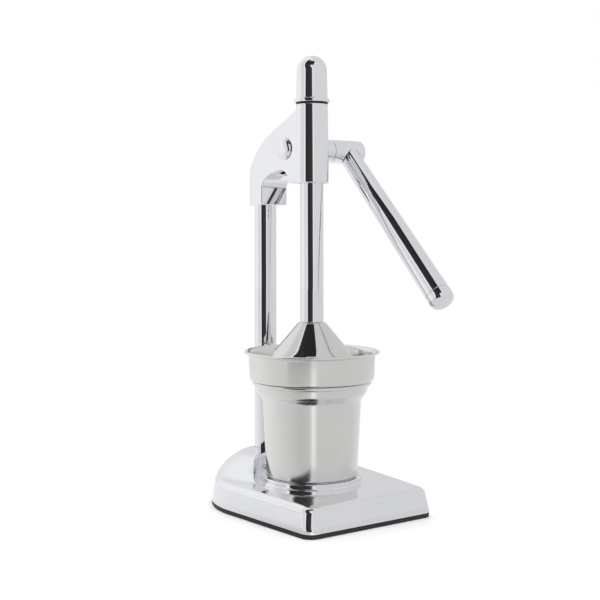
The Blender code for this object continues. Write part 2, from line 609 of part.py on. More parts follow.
def build_head():
    """The head casting with its plunger sleeve, column socket and pivot boss, and its bushes."""
    outline = head_outline()
    web_mesh = prism_mesh("head_casting", outline, -HALF_HEAD, HALF_HEAD)
    upright = (math.pi / 2, 0.0, math.pi / 2)
    head = add_piece("head_casting", web_mesh, CHROME, rotation=upright)
    round_edges(head, HEAD_EDGE_ROUND, 3)
    back_round = arc((0.0, COLUMN_DISTANCE), SOCKET_RADIUS, 0.0, math.pi, 24)
    plan = [(-SOCKET_RADIUS, -CUT), (SOCKET_RADIUS, -CUT)] + back_round
    plan_mesh = prism_mesh("head_plan", plan, HEAD_BOTTOM - CUT, SLEEVE_TOP + CUT)
    combine(head, add_cutter("head_plan", plan_mesh), "INTERSECT")
    sleeve = cylinder_mesh("plunger_sleeve", SLEEVE_RADIUS + SLEEVE_TAPER, SLEEVE_BOTTOM, SLEEVE_TOP,
                           48, SLEEVE_RADIUS)
    boss = cylinder_mesh("pivot_boss", BOSS_RADIUS, 0.0, BOSS_END, 40)
    pivot = (0.0, PIVOT_Y, PIVOT_Z)
    join(head, add_cutter("plunger_sleeve", sleeve),
         add_cutter("pivot_boss", boss, pivot, AXIS_ALONG_X))

    bore = cylinder_mesh("plunger_bore", BORE_RADIUS + FIT, SLEEVE_BOTTOM - CUT, SLEEVE_TOP + CUT, 40)
    seat_depth = GUIDE_BUSH_LENGTH + GAP
    upper_seat = cylinder_mesh("upper_bush_seat", GUIDE_SEAT_RADIUS, SLEEVE_TOP - seat_depth,
                               SLEEVE_TOP + CUT, 40)
    lower_seat = cylinder_mesh("lower_bush_seat", GUIDE_SEAT_RADIUS, SLEEVE_BOTTOM - CUT,
                               SLEEVE_BOTTOM + seat_depth, 40)
    cut(head, add_cutter("plunger_bore", bore), add_cutter("upper_bush_seat", upper_seat),
        add_cutter("lower_bush_seat", lower_seat))

    slot = cylinder_mesh("pinion_slot", SLOT_RADIUS, -SLOT_HALF_WIDTH, SLOT_HALF_WIDTH, 48)
    loading = (0.0, PIVOT_Y + SLOT_LOADING_SHIFT, PIVOT_Z - SLOT_LOADING_SHIFT * SLOT_LOADING_SLOPE)
    mouth_front = SLEEVE_RADIUS + SLEEVE_TAPER + SLEEVE_WALL
    mouth = box_mesh("slot_mouth", (-SLOT_HALF_WIDTH, mouth_front, SLEEVE_BOTTOM),
                     (SLOT_HALF_WIDTH, loading[1] + SLOT_RADIUS, loading[2]))
    cut(head, add_cutter("pinion_slot", slot, pivot, AXIS_ALONG_X),
        add_cutter("loading_slot", slot, loading, AXIS_ALONG_X), add_cutter("slot_mouth", mouth))

    shaft_bore = cylinder_mesh("shaft_bore", BUSH_RADIUS + GAP, -HALF_HEAD - CUT, BOSS_END + CUT, 32)
    column_place = (0.0, COLUMN_DISTANCE, 0.0)
    socket = cylinder_mesh("column_socket", COLUMN_RADIUS + FIT, HEAD_BOTTOM - CUT, SOCKET_TOP, 48)
    rod_thread = cylinder_mesh("rod_thread", TIE_ROD_RADIUS + FIT, SOCKET_TOP - CUT,
                               SOCKET_TOP + TIE_ROD_ENGAGEMENT, 24)
    lock_place = (0.0, COLUMN_DISTANCE, HEAD_BOTTOM + COLUMN_SOCKET_DEPTH / 2)
    lock_hole = cylinder_mesh("head_lock_hole", LOCK_SCREW_RADIUS + FIT, -SOCKET_RADIUS - CUT, 0.0, 20)
    cut(head, add_cutter("shaft_bore", shaft_bore, pivot, AXIS_ALONG_X),
        add_cutter("column_socket", socket, column_place),
        add_cutter("rod_thread", rod_thread, column_place),
        add_cutter("head_lock_hole", lock_hole, lock_place, AXIS_ALONG_Y))
    lock = cylinder_mesh("head_lock_screw", LOCK_SCREW_RADIUS, -SOCKET_RADIUS + GAP,
                         -COLUMN_RADIUS - FIT, 20)
    add_piece("head_lock_screw", lock, BRIGHT_STEEL, location=lock_place, rotation=AXIS_ALONG_Y)

    bush_outer = GUIDE_SEAT_RADIUS - GAP
    ring_piece("upper_guide_bush", BORE_RADIUS, bush_outer, SLEEVE_TOP - GUIDE_BUSH_LENGTH,
               SLEEVE_TOP, NYLON)
    ring_piece("lower_guide_bush", BORE_RADIUS, bush_outer, SLEEVE_BOTTOM,
               SLEEVE_BOTTOM + GUIDE_BUSH_LENGTH, NYLON)
    ring_piece("pinion_bush_left", SHAFT_RADIUS + FIT, BUSH_RADIUS, -HALF_HEAD + GAP,
               -SLOT_HALF_WIDTH, BRONZE, location=pivot, rotation=AXIS_ALONG_X)
    ring_piece("pinion_bush_right", SHAFT_RADIUS + FIT, BUSH_RADIUS, SLOT_HALF_WIDTH,
               BOSS_END - GAP, BRONZE, location=pivot, rotation=AXIS_ALONG_X)


def tooth_half_angle(radius):
    """Half the angle that a pinion tooth fills at a radius, from the involute of its base circle."""
    base = PINION_RADIUS * math.cos(PRESSURE_ANGLE)
    at_pitch = math.pi / (2 * PINION_TEETH) - TOOTH_BACKLASH / (4 * PINION_RADIUS)
    roll = math.acos(min(1.0, base / radius))
    involute = math.tan(roll) - roll
    return at_pitch + math.tan(PRESSURE_ANGLE) - PRESSURE_ANGLE - involute


def pinion_outline(flank_steps=3):
    """The pinion's outline, with one tooth on -Y, which faces the plunger."""
    base = PINION_RADIUS * math.cos(PRESSURE_ANGLE)
    root = PINION_RADIUS - TOOTH_DEDENDUM
    tip = PINION_RADIUS + TOOTH_ADDENDUM
    radii = [root] + list(np.linspace(max(base, root), tip, flank_steps + 1))
    points = []
    for tooth in range(PINION_TEETH):
        middle = -math.pi / 2 + 2 * math.pi * tooth / PINION_TEETH
        for radius in radii:
            angle = middle - tooth_half_angle(max(radius, base))
            points.append((radius * math.cos(angle), radius * math.sin(angle)))
        for radius in reversed(radii):
            angle = middle + tooth_half_angle(max(radius, base))
            points.append((radius * math.cos(angle), radius * math.sin(angle)))
    return points


def rack_gaps_mesh(name):
    """The gaps of the rack as bars across the rod, one for each tooth that the lever turns past."""
    pitch = math.pi * TOOTH_MODULE
    travel = PINION_RADIUS * LEVER_TRAVEL
    floor = RACK_PITCH_Y - TOOTH_DEDENDUM
    outside = PLUNGER_RADIUS + CUT
    slope = math.tan(PRESSURE_ANGLE)
    half = pitch / 4 + TOOTH_BACKLASH / 4
    narrow = half - TOOTH_DEDENDUM * slope
    wide = half + (outside - RACK_PITCH_Y) * slope
    # Past the tooth tips the gap keeps the width that it has there, so that bars don't meet.
    tip = half + (TOOTH_ADDENDUM + RACK_LAND) * slope
    wide = min(wide, tip)
    width = PLUNGER_RADIUS + CUT
    mesh = bpy.data.meshes.new(name)
    shape = bmesh.new()
    for step in range(-int(travel / pitch) - 2, 3):
        z = PIVOT_Z + step * pitch
        section = [(floor, z - narrow), (PLUNGER_RADIUS, z - tip), (outside, z - wide),
                   (outside, z + wide), (PLUNGER_RADIUS, z + tip), (floor, z + narrow)]
        left = [shape.verts.new((-width, y, height)) for y, height in section]
        right = [shape.verts.new((width, y, height)) for y, height in section]
        shape.faces.new(left)
        shape.faces.new(right)
        for i in range(len(section)):
            j = (i + 1) % len(section)
            shape.faces.new((left[i], left[j], right[j], right[i]))
    bmesh.ops.recalc_face_normals(shape, faces=shape.faces)
    shape.to_mesh(mesh)
    shape.free()
    return mesh


def build_plunger():
    """The toothed plunger rod, its cap and stop washer, and the press bell with its bolt."""
    rod_low = BELL_TOP + GAP
    rod_high = CAP_BOTTOM + CAP_BORE_DEPTH - GAP
    rod = add_piece("plunger_rod", cylinder_mesh("plunger_rod", PLUNGER_RADIUS, rod_low, rod_high, 48),
                    CHROME, PLUNGER_AXIS)
    bolt_hole = cylinder_mesh("bolt_hole", BOLT_RADIUS + FIT, rod_low - CUT, rod_low + BOLT_LENGTH, 20)
    cut(rod, add_cutter("rack_gaps", rack_gaps_mesh("rack_gaps")), add_cutter("bolt_hole", bolt_hole))

    lip_top = CAP_BOTTOM + CAP_LIP_HEIGHT
    cap_top = CAP_BOTTOM + CAP_HEIGHT
    dome_low = cap_top - CAP_TOP_RADIUS
    dome = arc((0.0, dome_low), CAP_TOP_RADIUS, math.pi / 2, 0.0, 6)
    bore_top = CAP_BOTTOM + CAP_BORE_DEPTH
    profile = [(0.0, cap_top)] + dome[1:] + [
        (CAP_RADIUS, lip_top), (CAP_LIP_RADIUS, lip_top - CAP_LIP_CHAMFER), (CAP_LIP_RADIUS, CAP_BOTTOM),
        (BORE_RADIUS, CAP_BOTTOM), (BORE_RADIUS, bore_top), (0.0, bore_top)]
    turned_piece("plunger_cap", profile, CHROME, PLUNGER_AXIS, sides=32)
    washer_low = SLEEVE_TOP + GAP
    ring_piece("cap_washer", BORE_RADIUS, CAP_WASHER_RADIUS, washer_low,
               washer_low + CAP_WASHER_THICKNESS, RUBBER, PLUNGER_AXIS)

    hip = (BELL_HIP_RADIUS, BELL_TOP - BELL_HIP_DROP)
    edge = (BELL_RADIUS, BELL_BOTTOM)
    top_edge = PLUNGER_RADIUS + BELL_TOP_MARGIN
    profile = [(BOLT_RADIUS + FIT, BELL_TOP), (top_edge - BELL_TOP_CHAMFER[0], BELL_TOP),
               (top_edge, BELL_TOP - BELL_TOP_CHAMFER[1]), hip]
    profile += bezier(hip, (hip[0] + 0.0040, hip[1] - 0.0052), (edge[0] - 0.0003, edge[1] + 0.0070),
                      edge, 4)
    bell = turned_piece("press_bell", profile, BRUSHED_STEEL, PLUNGER_AXIS, sides=40)
    thicken(bell, BELL_THICKNESS)
    washer_top = BELL_TOP - BELL_THICKNESS - GAP
    washer_low = washer_top - BELL_WASHER_THICKNESS
    ring_piece("bell_washer", BOLT_RADIUS + FIT, BELL_WASHER_RADIUS, washer_low, washer_top,
               BRIGHT_STEEL, PLUNGER_AXIS)
    head_top = washer_low - GAP
    head_low = head_top - BOLT_HEAD_HEIGHT
    bolt_top = rod_low + BOLT_LENGTH - GAP
    profile = [(0.0, bolt_top), (BOLT_RADIUS, bolt_top), (BOLT_RADIUS, head_top),
               (BOLT_HEAD_RADIUS, head_top), (BOLT_HEAD_RADIUS, head_low), (0.0, head_low)]
    turned_piece("bell_bolt", profile, BRIGHT_STEEL, PLUNGER_AXIS, sides=20)


def build_pinion():
    """The pinion, its shaft and key, the thrust washers and the cap on the shaft's left end."""
    half = PINION_WIDTH / 2
    outline = pinion_outline()
    gear = add_piece("drive_pinion", prism_mesh("drive_pinion", outline, -half, half),
                     BRIGHT_STEEL, LEVER_AXIS, rotation=AXIS_ALONG_X)
    pivot = (0.0, PIVOT_Y, PIVOT_Z)
    gear_bore = cylinder_mesh("pinion_bore", SHAFT_RADIUS + FIT, -half - CUT, half + CUT, 32)
    key_low = SHAFT_RADIUS - KEY_WIDTH / 2
    key_high = SHAFT_RADIUS + KEY_WIDTH / 2
    key_way = box_mesh("pinion_key_way", (-half - CUT, -KEY_WIDTH / 2 - FIT, 0.0),
                       (half + CUT, KEY_WIDTH / 2 + FIT, key_high + FIT))
    cut(gear, add_cutter("pinion_bore", gear_bore, pivot, AXIS_ALONG_X),
        add_cutter("pinion_key_way", key_way, pivot))
    key = box_mesh("drive_key", (-KEY_LENGTH / 2, -KEY_WIDTH / 2, key_low),
                   (KEY_LENGTH / 2, KEY_WIDTH / 2, key_high))
    add_piece("drive_key", key, BRIGHT_STEEL, LEVER_AXIS)

    cap_inner = HALF_HEAD + GAP
    cap_outer = cap_inner + PIVOT_CAP_HEIGHT
    cap_bore = PIVOT_CAP_HEIGHT * PIVOT_CAP_BORE_SHARE
    shaft_left = -cap_inner - cap_bore + GAP
    shaft_right = HUB_END - HUB_END_WALL - GAP
    shaft_mesh = cylinder_mesh("pinion_shaft", SHAFT_RADIUS, shaft_left, shaft_right, 32)
    shaft = add_piece("pinion_shaft", shaft_mesh, BRIGHT_STEEL, LEVER_AXIS, rotation=AXIS_ALONG_X)
    shaft_way = box_mesh("shaft_key_way", (-KEY_LENGTH / 2 - FIT, -KEY_WIDTH / 2 - FIT, key_low - FIT),
                         (KEY_LENGTH / 2 + FIT, KEY_WIDTH / 2 + FIT, SHAFT_RADIUS + CUT))
    cut(shaft, add_cutter("shaft_key_way", shaft_way, pivot))
    for side, name in ((-1, "thrust_washer_left"), (1, "thrust_washer_right")):
        near = half + GAP
        ends = sorted((side * near, side * (near + THRUST_WASHER_THICKNESS)))
        ring_piece(name, SHAFT_RADIUS + FIT, THRUST_WASHER_RADIUS, ends[0], ends[1], BRONZE,
                   LEVER_AXIS, rotation=AXIS_ALONG_X)
    dome = bezier((0.0, -cap_outer), (PIVOT_CAP_RADIUS * 0.55, -cap_outer),
                  (PIVOT_CAP_RADIUS, -cap_inner - PIVOT_CAP_HEIGHT * 0.7),
                  (PIVOT_CAP_RADIUS, -cap_inner), 5)
    inner = [(SHAFT_RADIUS + FIT, -cap_inner), (SHAFT_RADIUS + FIT, -cap_inner - cap_bore),
             (0.0, -cap_inner - cap_bore)]
    profile = list(reversed(inner)) + list(reversed(dome)) + [(0.0, -cap_outer)]
    turned_piece("pivot_cap", profile, CHROME, LEVER_AXIS, rotation=AXIS_ALONG_X, sides=24)


def build_lever():
    """The lever: hub on the shaft, tapered tube arm and rounded end cap."""
    bore = SHAFT_RADIUS + FIT
    bore_end = HUB_END - HUB_END_WALL
    round_low = HUB_END - HUB_END_ROUND
    corner = arc((BOSS_RADIUS - HUB_END_ROUND, round_low), HUB_END_ROUND, math.pi / 2, 0.0, 4)
    profile = [(0.0, HUB_END)] + corner + [
        (BOSS_RADIUS, HUB_START), (bore, HUB_START), (bore, bore_end), (0.0, bore_end)]
    hub = turned_piece("lever_hub", profile, CHROME, LEVER_AXIS, rotation=AXIS_ALONG_X, sides=36)
    arm_foot = (ARM_PLANE, PIVOT_Y, PIVOT_Z)
    arm_socket = cylinder_mesh("arm_socket", ARM_RADIUS_NEAR + 2 * FIT, ARM_START - GAP,
                               BOSS_RADIUS + CUT, 40)
    screw_x = (HUB_START + ARM_PLANE - ARM_RADIUS_NEAR) / 2
    lock_place = (screw_x, PIVOT_Y, PIVOT_Z)
    lock_hole = cylinder_mesh("hub_lock_hole", LOCK_SCREW_RADIUS + FIT, -BOSS_RADIUS - CUT, 0.0, 20)
    cut(hub, add_cutter("arm_socket", arm_socket, arm_foot, AXIS_ALONG_ARM),
        add_cutter("hub_lock_hole", lock_hole, lock_place, AXIS_ALONG_Y))
    lock = cylinder_mesh("hub_lock_screw", LOCK_SCREW_RADIUS, -BOSS_RADIUS + 2 * GAP, -bore, 20)
    add_piece("hub_lock_screw", lock, BRIGHT_STEEL, LEVER_AXIS, (screw_x, 0.0, 0.0), AXIS_ALONG_Y)

    arm_end = ARM_START + ARM_LENGTH
    profile = [(ARM_RADIUS_FAR - ARM_WALL, arm_end), (ARM_RADIUS_FAR, arm_end),
               (ARM_RADIUS_NEAR, ARM_START), (ARM_RADIUS_NEAR - ARM_WALL, ARM_START)]
    turned_piece("lever_arm", profile, CHROME, LEVER_AXIS, (ARM_PLANE, 0.0, 0.0), AXIS_ALONG_ARM,
                 sides=40, closed=True)
    cap_low = arm_end + GAP
    cap_high = cap_low + END_CAP_LENGTH
    cap_radius = ARM_RADIUS_FAR + END_CAP_MARGIN
    spigot = ARM_RADIUS_FAR - ARM_WALL - FIT
    corner = arc((cap_radius - END_CAP_ROUND, cap_high - END_CAP_ROUND), END_CAP_ROUND,
                 math.pi / 2, 0.0, 4)
    spigot_low = cap_low - END_CAP_SPIGOT
    taper = (ARM_RADIUS_FAR - ARM_RADIUS_NEAR) / ARM_LENGTH * END_CAP_SPIGOT
    profile = [(0.0, cap_high)] + corner + [
        (cap_radius, cap_low), (spigot, cap_low), (spigot - taper, spigot_low), (0.0, spigot_low)]
    turned_piece("handle_end_cap", profile, CHROME, LEVER_AXIS, (ARM_PLANE, 0.0, 0.0),
                 AXIS_ALONG_ARM, sides=32)


def build_cup():
    """The juice cup: rolled rim, neck that seats the strainer, shoulder and tapered body."""
    # The wall curls outwards over the rim, so there its thickness lies on the curl's outside.
    curl = SHEET_THICKNESS + CUP_ROLL_RADIUS
    roll_centre = (CUP_RIM_RADIUS - curl, CUP_TOP - curl)
    roll = arc(roll_centre, CUP_ROLL_RADIUS, CUP_ROLL_START, math.pi, 4)
    neck = (CUP_NECK_RADIUS, CUP_TOP - CUP_NECK_DROP)
    shoulder = (CUP_TOP_RADIUS, CUP_TOP - CUP_SHOULDER_DROP)
    body_low = (CUP_BASE_RADIUS, CUP_BOTTOM + CUP_BASE_ROUND)
    foot = arc((CUP_BASE_RADIUS - CUP_BASE_ROUND, CUP_BOTTOM + CUP_BASE_ROUND), CUP_BASE_ROUND,
               0.0, -math.pi / 2, 3)
    profile = roll + [neck]
    profile += bezier(neck, (neck[0] - 0.0005, neck[1] - 0.0045),
                      (shoulder[0] + 0.0012, shoulder[1] + 0.0055), shoulder, 3)
    profile += [body_low] + foot[1:] + [(0.0, CUP_BOTTOM)]
    cup = turned_piece("juice_cup", profile, BRUSHED_STEEL, CUP_AXIS, sides=40)
    thicken(cup, SHEET_THICKNESS)


def reamer_mesh(name, flange_low, rings=6, sides=60):
    """The reamer's outer skin: a flat flange and a rounded cone whose radius waves round it."""
    top = flange_low + REAMER_HEIGHT
    profile = [(REAMER_FLANGE_RADIUS, flange_low, 0.0), (REAMER_BASE_RADIUS, flange_low, 0.0)]
    for t in np.linspace(0.0, 1.0, rings + 1)[1:-1]:
        radius = REAMER_BASE_RADIUS * math.cos(t * math.pi / 2) ** REAMER_WIDTH_POWER
        height = REAMER_HEIGHT * math.sin(t * math.pi / 2) ** REAMER_HEIGHT_POWER
        profile.append((radius, flange_low + height, REAMER_RIB_DEPTH * math.sin(t * math.pi)))
    mesh = bpy.data.meshes.new(name)
    shape = bmesh.new()
    angles = np.linspace(0.0, 2 * math.pi, sides, endpoint=False)
    loops = []
    for radius, height, wave in profile:
        loop = []
        for angle in angles:
            ridge = radius * (1 + wave * math.cos(REAMER_RIBS * angle))
            loop.append(shape.verts.new((ridge * math.cos(angle), ridge * math.sin(angle), height)))
        loops.append(loop)
    for low, high in zip(loops, loops[1:]):
        for i in range(sides):
            j = (i + 1) % sides
            shape.faces.new((low[i], low[j], high[j], high[i]))
    crown = shape.verts.new((0.0, 0.0, top))
    for i in range(sides):
        shape.faces.new((loops[-1][i], loops[-1][(i + 1) % sides], crown))
    shape.to_mesh(mesh)
    shape.free()
    return mesh


def build_strainer():
    """The strainer bowl, which hangs in the cup's neck, and the reamer riveted to its floor."""
    # The lip turns outwards, so there the thickness lies above the profile and outside it.
    rim_top = BOWL_LEDGE + BOWL_HEIGHT - BOWL_THICKNESS
    lip = BOWL_RIM_RADIUS - BOWL_THICKNESS
    spigot = CUP_NECK_RADIUS - SHEET_THICKNESS - BOWL_SPIGOT_CLEARANCE
    foot = BOWL_FOOT_RADIUS
    profile = [(lip, rim_top - 0.0016), (lip - 0.0002, rim_top - 0.0004),
               (lip - 0.0012, rim_top), (BOWL_TOP_RADIUS + 0.0012, rim_top - 0.0008),
               (BOWL_TOP_RADIUS, rim_top - 0.0030), (foot, BOWL_LEDGE + 0.0030),
               (foot - 0.0009, BOWL_LEDGE + 0.0009), (foot - 0.0030, BOWL_LEDGE),
               (spigot + 0.0010, BOWL_LEDGE), (spigot, BOWL_LEDGE - 0.0010),
               (spigot, BOWL_FLOOR + 0.0015), (spigot - 0.0015, BOWL_FLOOR), (0.0, BOWL_FLOOR)]
    bowl = turned_piece("strainer_bowl", profile, BRUSHED_STEEL, STRAINER_AXIS, sides=40)
    thicken(bowl, BOWL_THICKNESS)

    slot_start = REAMER_FLANGE_RADIUS + SLOT_END_MARGIN
    slot_end = spigot - BOWL_THICKNESS - SLOT_END_MARGIN
    slots = bpy.data.meshes.new("drain_slots")
    shape = bmesh.new()
    for number in range(SLOT_COUNT):
        made = bmesh.ops.create_cube(shape, size=1.0)["verts"]
        bmesh.ops.scale(shape, verts=made, vec=(slot_end - slot_start, SLOT_WIDTH, 4 * BOWL_THICKNESS))
        bmesh.ops.translate(shape, verts=made, vec=((slot_end + slot_start) / 2, 0.0, BOWL_FLOOR))
        turn = Matrix.Rotation(2 * math.pi * number / SLOT_COUNT, 3, "Z")
        bmesh.ops.rotate(shape, verts=made, cent=(0, 0, 0), matrix=turn)
    shape.to_mesh(slots)
    shape.free()
    cut(bowl, add_cutter("drain_slots", slots))

    flange_low = BOWL_FLOOR + BOWL_THICKNESS + GAP + REAMER_THICKNESS
    reamer = add_piece("reamer_cone", reamer_mesh("reamer_cone", flange_low), BRUSHED_STEEL,
                       STRAINER_AXIS)
    thicken(reamer, REAMER_THICKNESS)
    circle = (REAMER_FLANGE_RADIUS + REAMER_BASE_RADIUS) / 2
    hole = cylinder_mesh("rivet_hole", RIVET_RADIUS + FIT, BOWL_FLOOR - CUT / 2, flange_low + CUT / 2, 12)
    head_low = flange_low + GAP
    tail_top = BOWL_FLOOR - GAP
    crown = RIVET_HEAD_RADIUS * RIVET_CROWN_SHARE
    head_high = head_low + RIVET_HEAD_HEIGHT
    tail_low = tail_top - RIVET_HEAD_HEIGHT
    profile = [(0.0, head_high), (crown, head_high), (RIVET_HEAD_RADIUS, head_low),
               (RIVET_RADIUS, head_low), (RIVET_RADIUS, tail_top), (RIVET_HEAD_RADIUS, tail_top),
               (crown, tail_low), (0.0, tail_low)]
    for number in range(RIVET_COUNT):
        angle = RIVET_TURN + 2 * math.pi * number / RIVET_COUNT
        place = (circle * math.cos(angle), circle * math.sin(angle), 0.0)
        tool = add_cutter(f"rivet_hole_{number + 1}", hole, place)
        cut(bowl, tool)
        cut(reamer, tool)
        turned_piece(f"reamer_rivet_{number + 1}", profile, BRIGHT_STEEL, STRAINER_AXIS, place, sides=12)


build_base()
build_column()
build_head()
build_plunger()
build_pinion()
build_lever()
build_cup()
build_strainer()
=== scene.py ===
"""Looks of a table-top citrus press: polished chrome, spun stainless steel and black rubber.

Every size is in millimetres until it is written into a mesh. Z is up, the plunger's axis is
the Z axis, the straight front of the base faces -Y and the lever is on +X. Positions come from
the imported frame: its boxes, its joints and its bounds.
"""

import json
import logging
import math
from dataclasses import dataclass, field
from enum import Enum
from typing import Sequence

import bmesh
import bpy
import numpy as np
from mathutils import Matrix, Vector


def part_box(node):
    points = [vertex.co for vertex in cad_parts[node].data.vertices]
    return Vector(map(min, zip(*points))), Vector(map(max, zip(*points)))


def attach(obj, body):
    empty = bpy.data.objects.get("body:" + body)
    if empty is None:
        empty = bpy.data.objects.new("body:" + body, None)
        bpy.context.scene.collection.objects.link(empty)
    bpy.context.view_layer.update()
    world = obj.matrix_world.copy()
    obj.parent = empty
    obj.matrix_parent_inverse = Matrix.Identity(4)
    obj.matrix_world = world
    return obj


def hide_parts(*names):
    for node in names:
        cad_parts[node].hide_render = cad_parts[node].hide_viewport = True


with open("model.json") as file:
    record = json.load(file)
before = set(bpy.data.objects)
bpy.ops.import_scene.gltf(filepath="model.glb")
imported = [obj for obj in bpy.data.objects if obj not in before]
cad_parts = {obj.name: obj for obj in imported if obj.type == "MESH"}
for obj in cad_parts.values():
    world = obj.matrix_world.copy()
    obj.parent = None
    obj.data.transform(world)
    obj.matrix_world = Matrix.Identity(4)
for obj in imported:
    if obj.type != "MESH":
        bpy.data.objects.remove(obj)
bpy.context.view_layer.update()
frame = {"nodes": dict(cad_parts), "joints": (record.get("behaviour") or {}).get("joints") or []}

LOG = logging.getLogger("citrus_press")
MM = 0.001
SHARP_ANGLE = math.radians(32.0)
BEVEL_ANGLE = math.radians(40.0)
MERGE_MM = 0.004    # points that a cut leaves closer than this become one
PAST = 10.0         # how far a cutter reaches past the piece that it cuts
NOISE_LOW, NOISE_HIGH = 0.3, 0.7    # between these lies nearly all of a noise texture
WHITE = (1.0, 1.0, 1.0, 1.0)
Array = np.ndarray
Corner = tuple[float, float, float]
Piece = bpy.types.Object


# ---------------------------------------------------------------- colours and nodes

def linear_colour(code: str) -> tuple[float, float, float, float]:
    """Turn an sRGB hex value into a linear colour.

    Args:
        code: six hex digits, such as "C8C4BC".

    Returns:
        Red, green, blue and an alpha of 1.
    """
    srgb = np.array([int(code[i:i + 2], 16) for i in (0, 2, 4)]) / 255.0
    linear = np.where(srgb <= 0.04045, srgb / 12.92, ((srgb + 0.055) / 1.055) ** 2.4)
    return (float(linear[0]), float(linear[1]), float(linear[2]), 1.0)


def add_node(tree: bpy.types.NodeTree, kind: str, settings: dict | None = None,
             links: dict | None = None) -> bpy.types.Node:
    """Add one node with its settings and its links.

    Args:
        tree: the node tree.
        kind: the node's type name, without its "ShaderNode".
        settings: values by property name, or by input name or number.
        links: what feeds the inputs, by input name or number: a socket, or a node for its
            first output.

    Returns:
        The new node.
    """
    node = tree.nodes.new("ShaderNode" + kind)
    for name, value in (settings or {}).items():
        if isinstance(name, str) and hasattr(node, name):
            setattr(node, name, value)
        else:
            node.inputs[name].default_value = value
    for name, source in (links or {}).items():
        socket = source.outputs[0] if isinstance(source, bpy.types.Node) else source
        tree.links.new(socket, node.inputs[name])
    return node


def set_ramp(node: bpy.types.Node, stops: Sequence[tuple[float, float]]) -> None:
    """Give a colour ramp grey stops.

    Args:
        node: the ramp node.
        stops: pairs of place and grey value, in rising order.
    """
    elements = node.color_ramp.elements
    while len(elements) < len(stops):
        elements.new(1.0)
    for element, (place, grey) in zip(elements, stops):
        element.position = place
        element.color = (grey, grey, grey, 1.0)


# ---------------------------------------------------------------- finishes

class Grain(Enum):
    """The way in which the marks of polishing run, as marks per metre along X, Y and Z.

    Polishing lines lie about 0.1 mm apart, too fine to show, so they are drawn 0.9 mm apart.
    Buffing haze is drawn as waves of 14 mm, and cast, sintered or moulded texture, whose real
    grains are 0.1 to 0.5 mm, as grains of 2.4 mm.
    """

    ROUND_AXIS = (60.0, 60.0, 1100.0)
    BUFFED = (70.0, 70.0, 70.0)
    ANY = (420.0, 420.0, 420.0)


@dataclass(frozen=True)
class Finish:
    """A surface finish.

    The roughness wanders between two values over patches of patch_mm, as wiped and handled
    metal does, and a fine relief of relief_mm deep follows the grain.
    """

    name: str
    slot: str
    colour: str
    colour_worn: str
    metallic: float
    roughness: tuple[float, float]
    patch_mm: float
    grain: Grain
    relief_mm: float
    strength: float

    def material(self) -> bpy.types.Material:
        """The finish's node material, made once."""
        found = bpy.data.materials.get(self.name)
        if found:
            return found
        material = bpy.data.materials.new(self.name)
        material.use_nodes = True
        tree = material.node_tree
        shader = tree.nodes["Principled BSDF"]
        shader.inputs["Metallic"].default_value = self.metallic
        place = add_node(tree, "TexCoord").outputs["Object"]
        patches = add_node(tree, "TexNoise",
                           {"Scale": 1.0 / (self.patch_mm * MM), "Detail": 4.0, "Roughness": 0.55},
                           {"Vector": place})
        spread = add_node(tree, "MapRange",
                          {"From Min": NOISE_LOW, "From Max": NOISE_HIGH,
                           "To Min": self.roughness[0], "To Max": self.roughness[1]},
                          {"Value": patches})
        tree.links.new(spread.outputs[0], shader.inputs["Roughness"])
        tone = add_node(tree, "Mix",
                        {"data_type": "RGBA", 6: linear_colour(self.colour),
                         7: linear_colour(self.colour_worn)}, {0: patches})
        tree.links.new(tone.outputs[2], shader.inputs["Base Color"])
        stretched = add_node(tree, "Mapping", {"Scale": self.grain.value}, {"Vector": place})
        lines = add_node(tree, "TexNoise", {"Scale": 1.0, "Detail": 3.0}, {"Vector": stretched})
        relief = add_node(tree, "Bump",
                          {"Strength": self.strength, "Distance": self.relief_mm * MM},
                          {"Height": lines})
        tree.links.new(relief.outputs[0], shader.inputs["Normal"])
        return material


# Chrome plate over a buffed zinc casting or steel tube: a mirror with a faint wiped haze.
CHROME = Finish("polished_chrome_plate", "chrome_plate", "F1F2F5", "E9EAEE", 1.0, (0.018, 0.045),
                38.0, Grain.BUFFED, 0.0015, 0.05)
# Spun 18/8 stainless sheet, satin polished while it turned: fine lines run round the axis.
SATIN_STEEL = Finish("satin_spun_stainless_steel", "brushed_stainless", "E8E7E5", "DEDDDB", 1.0,
                     (0.15, 0.20), 30.0, Grain.ROUND_AXIS, 0.006, 0.60)
# Pressed stainless sheet, buffed bright: sharper reflections, with soft lines round the axis.
BUFFED_STEEL = Finish("buffed_pressed_stainless_steel", "brushed_stainless", "E4E2E0", "DAD8D6",
                      1.0, (0.035, 0.065), 26.0, Grain.ROUND_AXIS, 0.003, 0.15)
# Zinc-plated steel of screws, gears and the base plate: greyer and duller than the chrome.
BRIGHT_STEEL = Finish("zinc_plated_steel", "bright_steel", "B9BABD", "A9AAAE", 1.0, (0.26, 0.38),
                      9.0, Grain.ANY, 0.006, 0.30)
# Sintered bronze of bushes and washers: matt, with open pores that are drawn coarser.
BRONZE = Finish("sintered_bronze", "bronze", "B08A58", "96703F", 1.0, (0.38, 0.52), 5.0, Grain.ANY,
                0.015, 0.45)
# Natural nylon of the plunger's guides: off-white, waxy, with a faint mould texture.
NYLON = Finish("turned_natural_nylon", "nylon", "E9E6DC", "DED9CC", 0.0, (0.40, 0.50), 12.0,
               Grain.ANY, 0.008, 0.30)
# Moulded black rubber of the mat and the stop washer: a soft, dusty sheen.
RUBBER = Finish("moulded_black_rubber", "black_rubber", "1D1D1F", "29292B", 0.0, (0.55, 0.72),
                14.0, Grain.ANY, 0.020, 0.50)


# ---------------------------------------------------------------- meshes from arrays

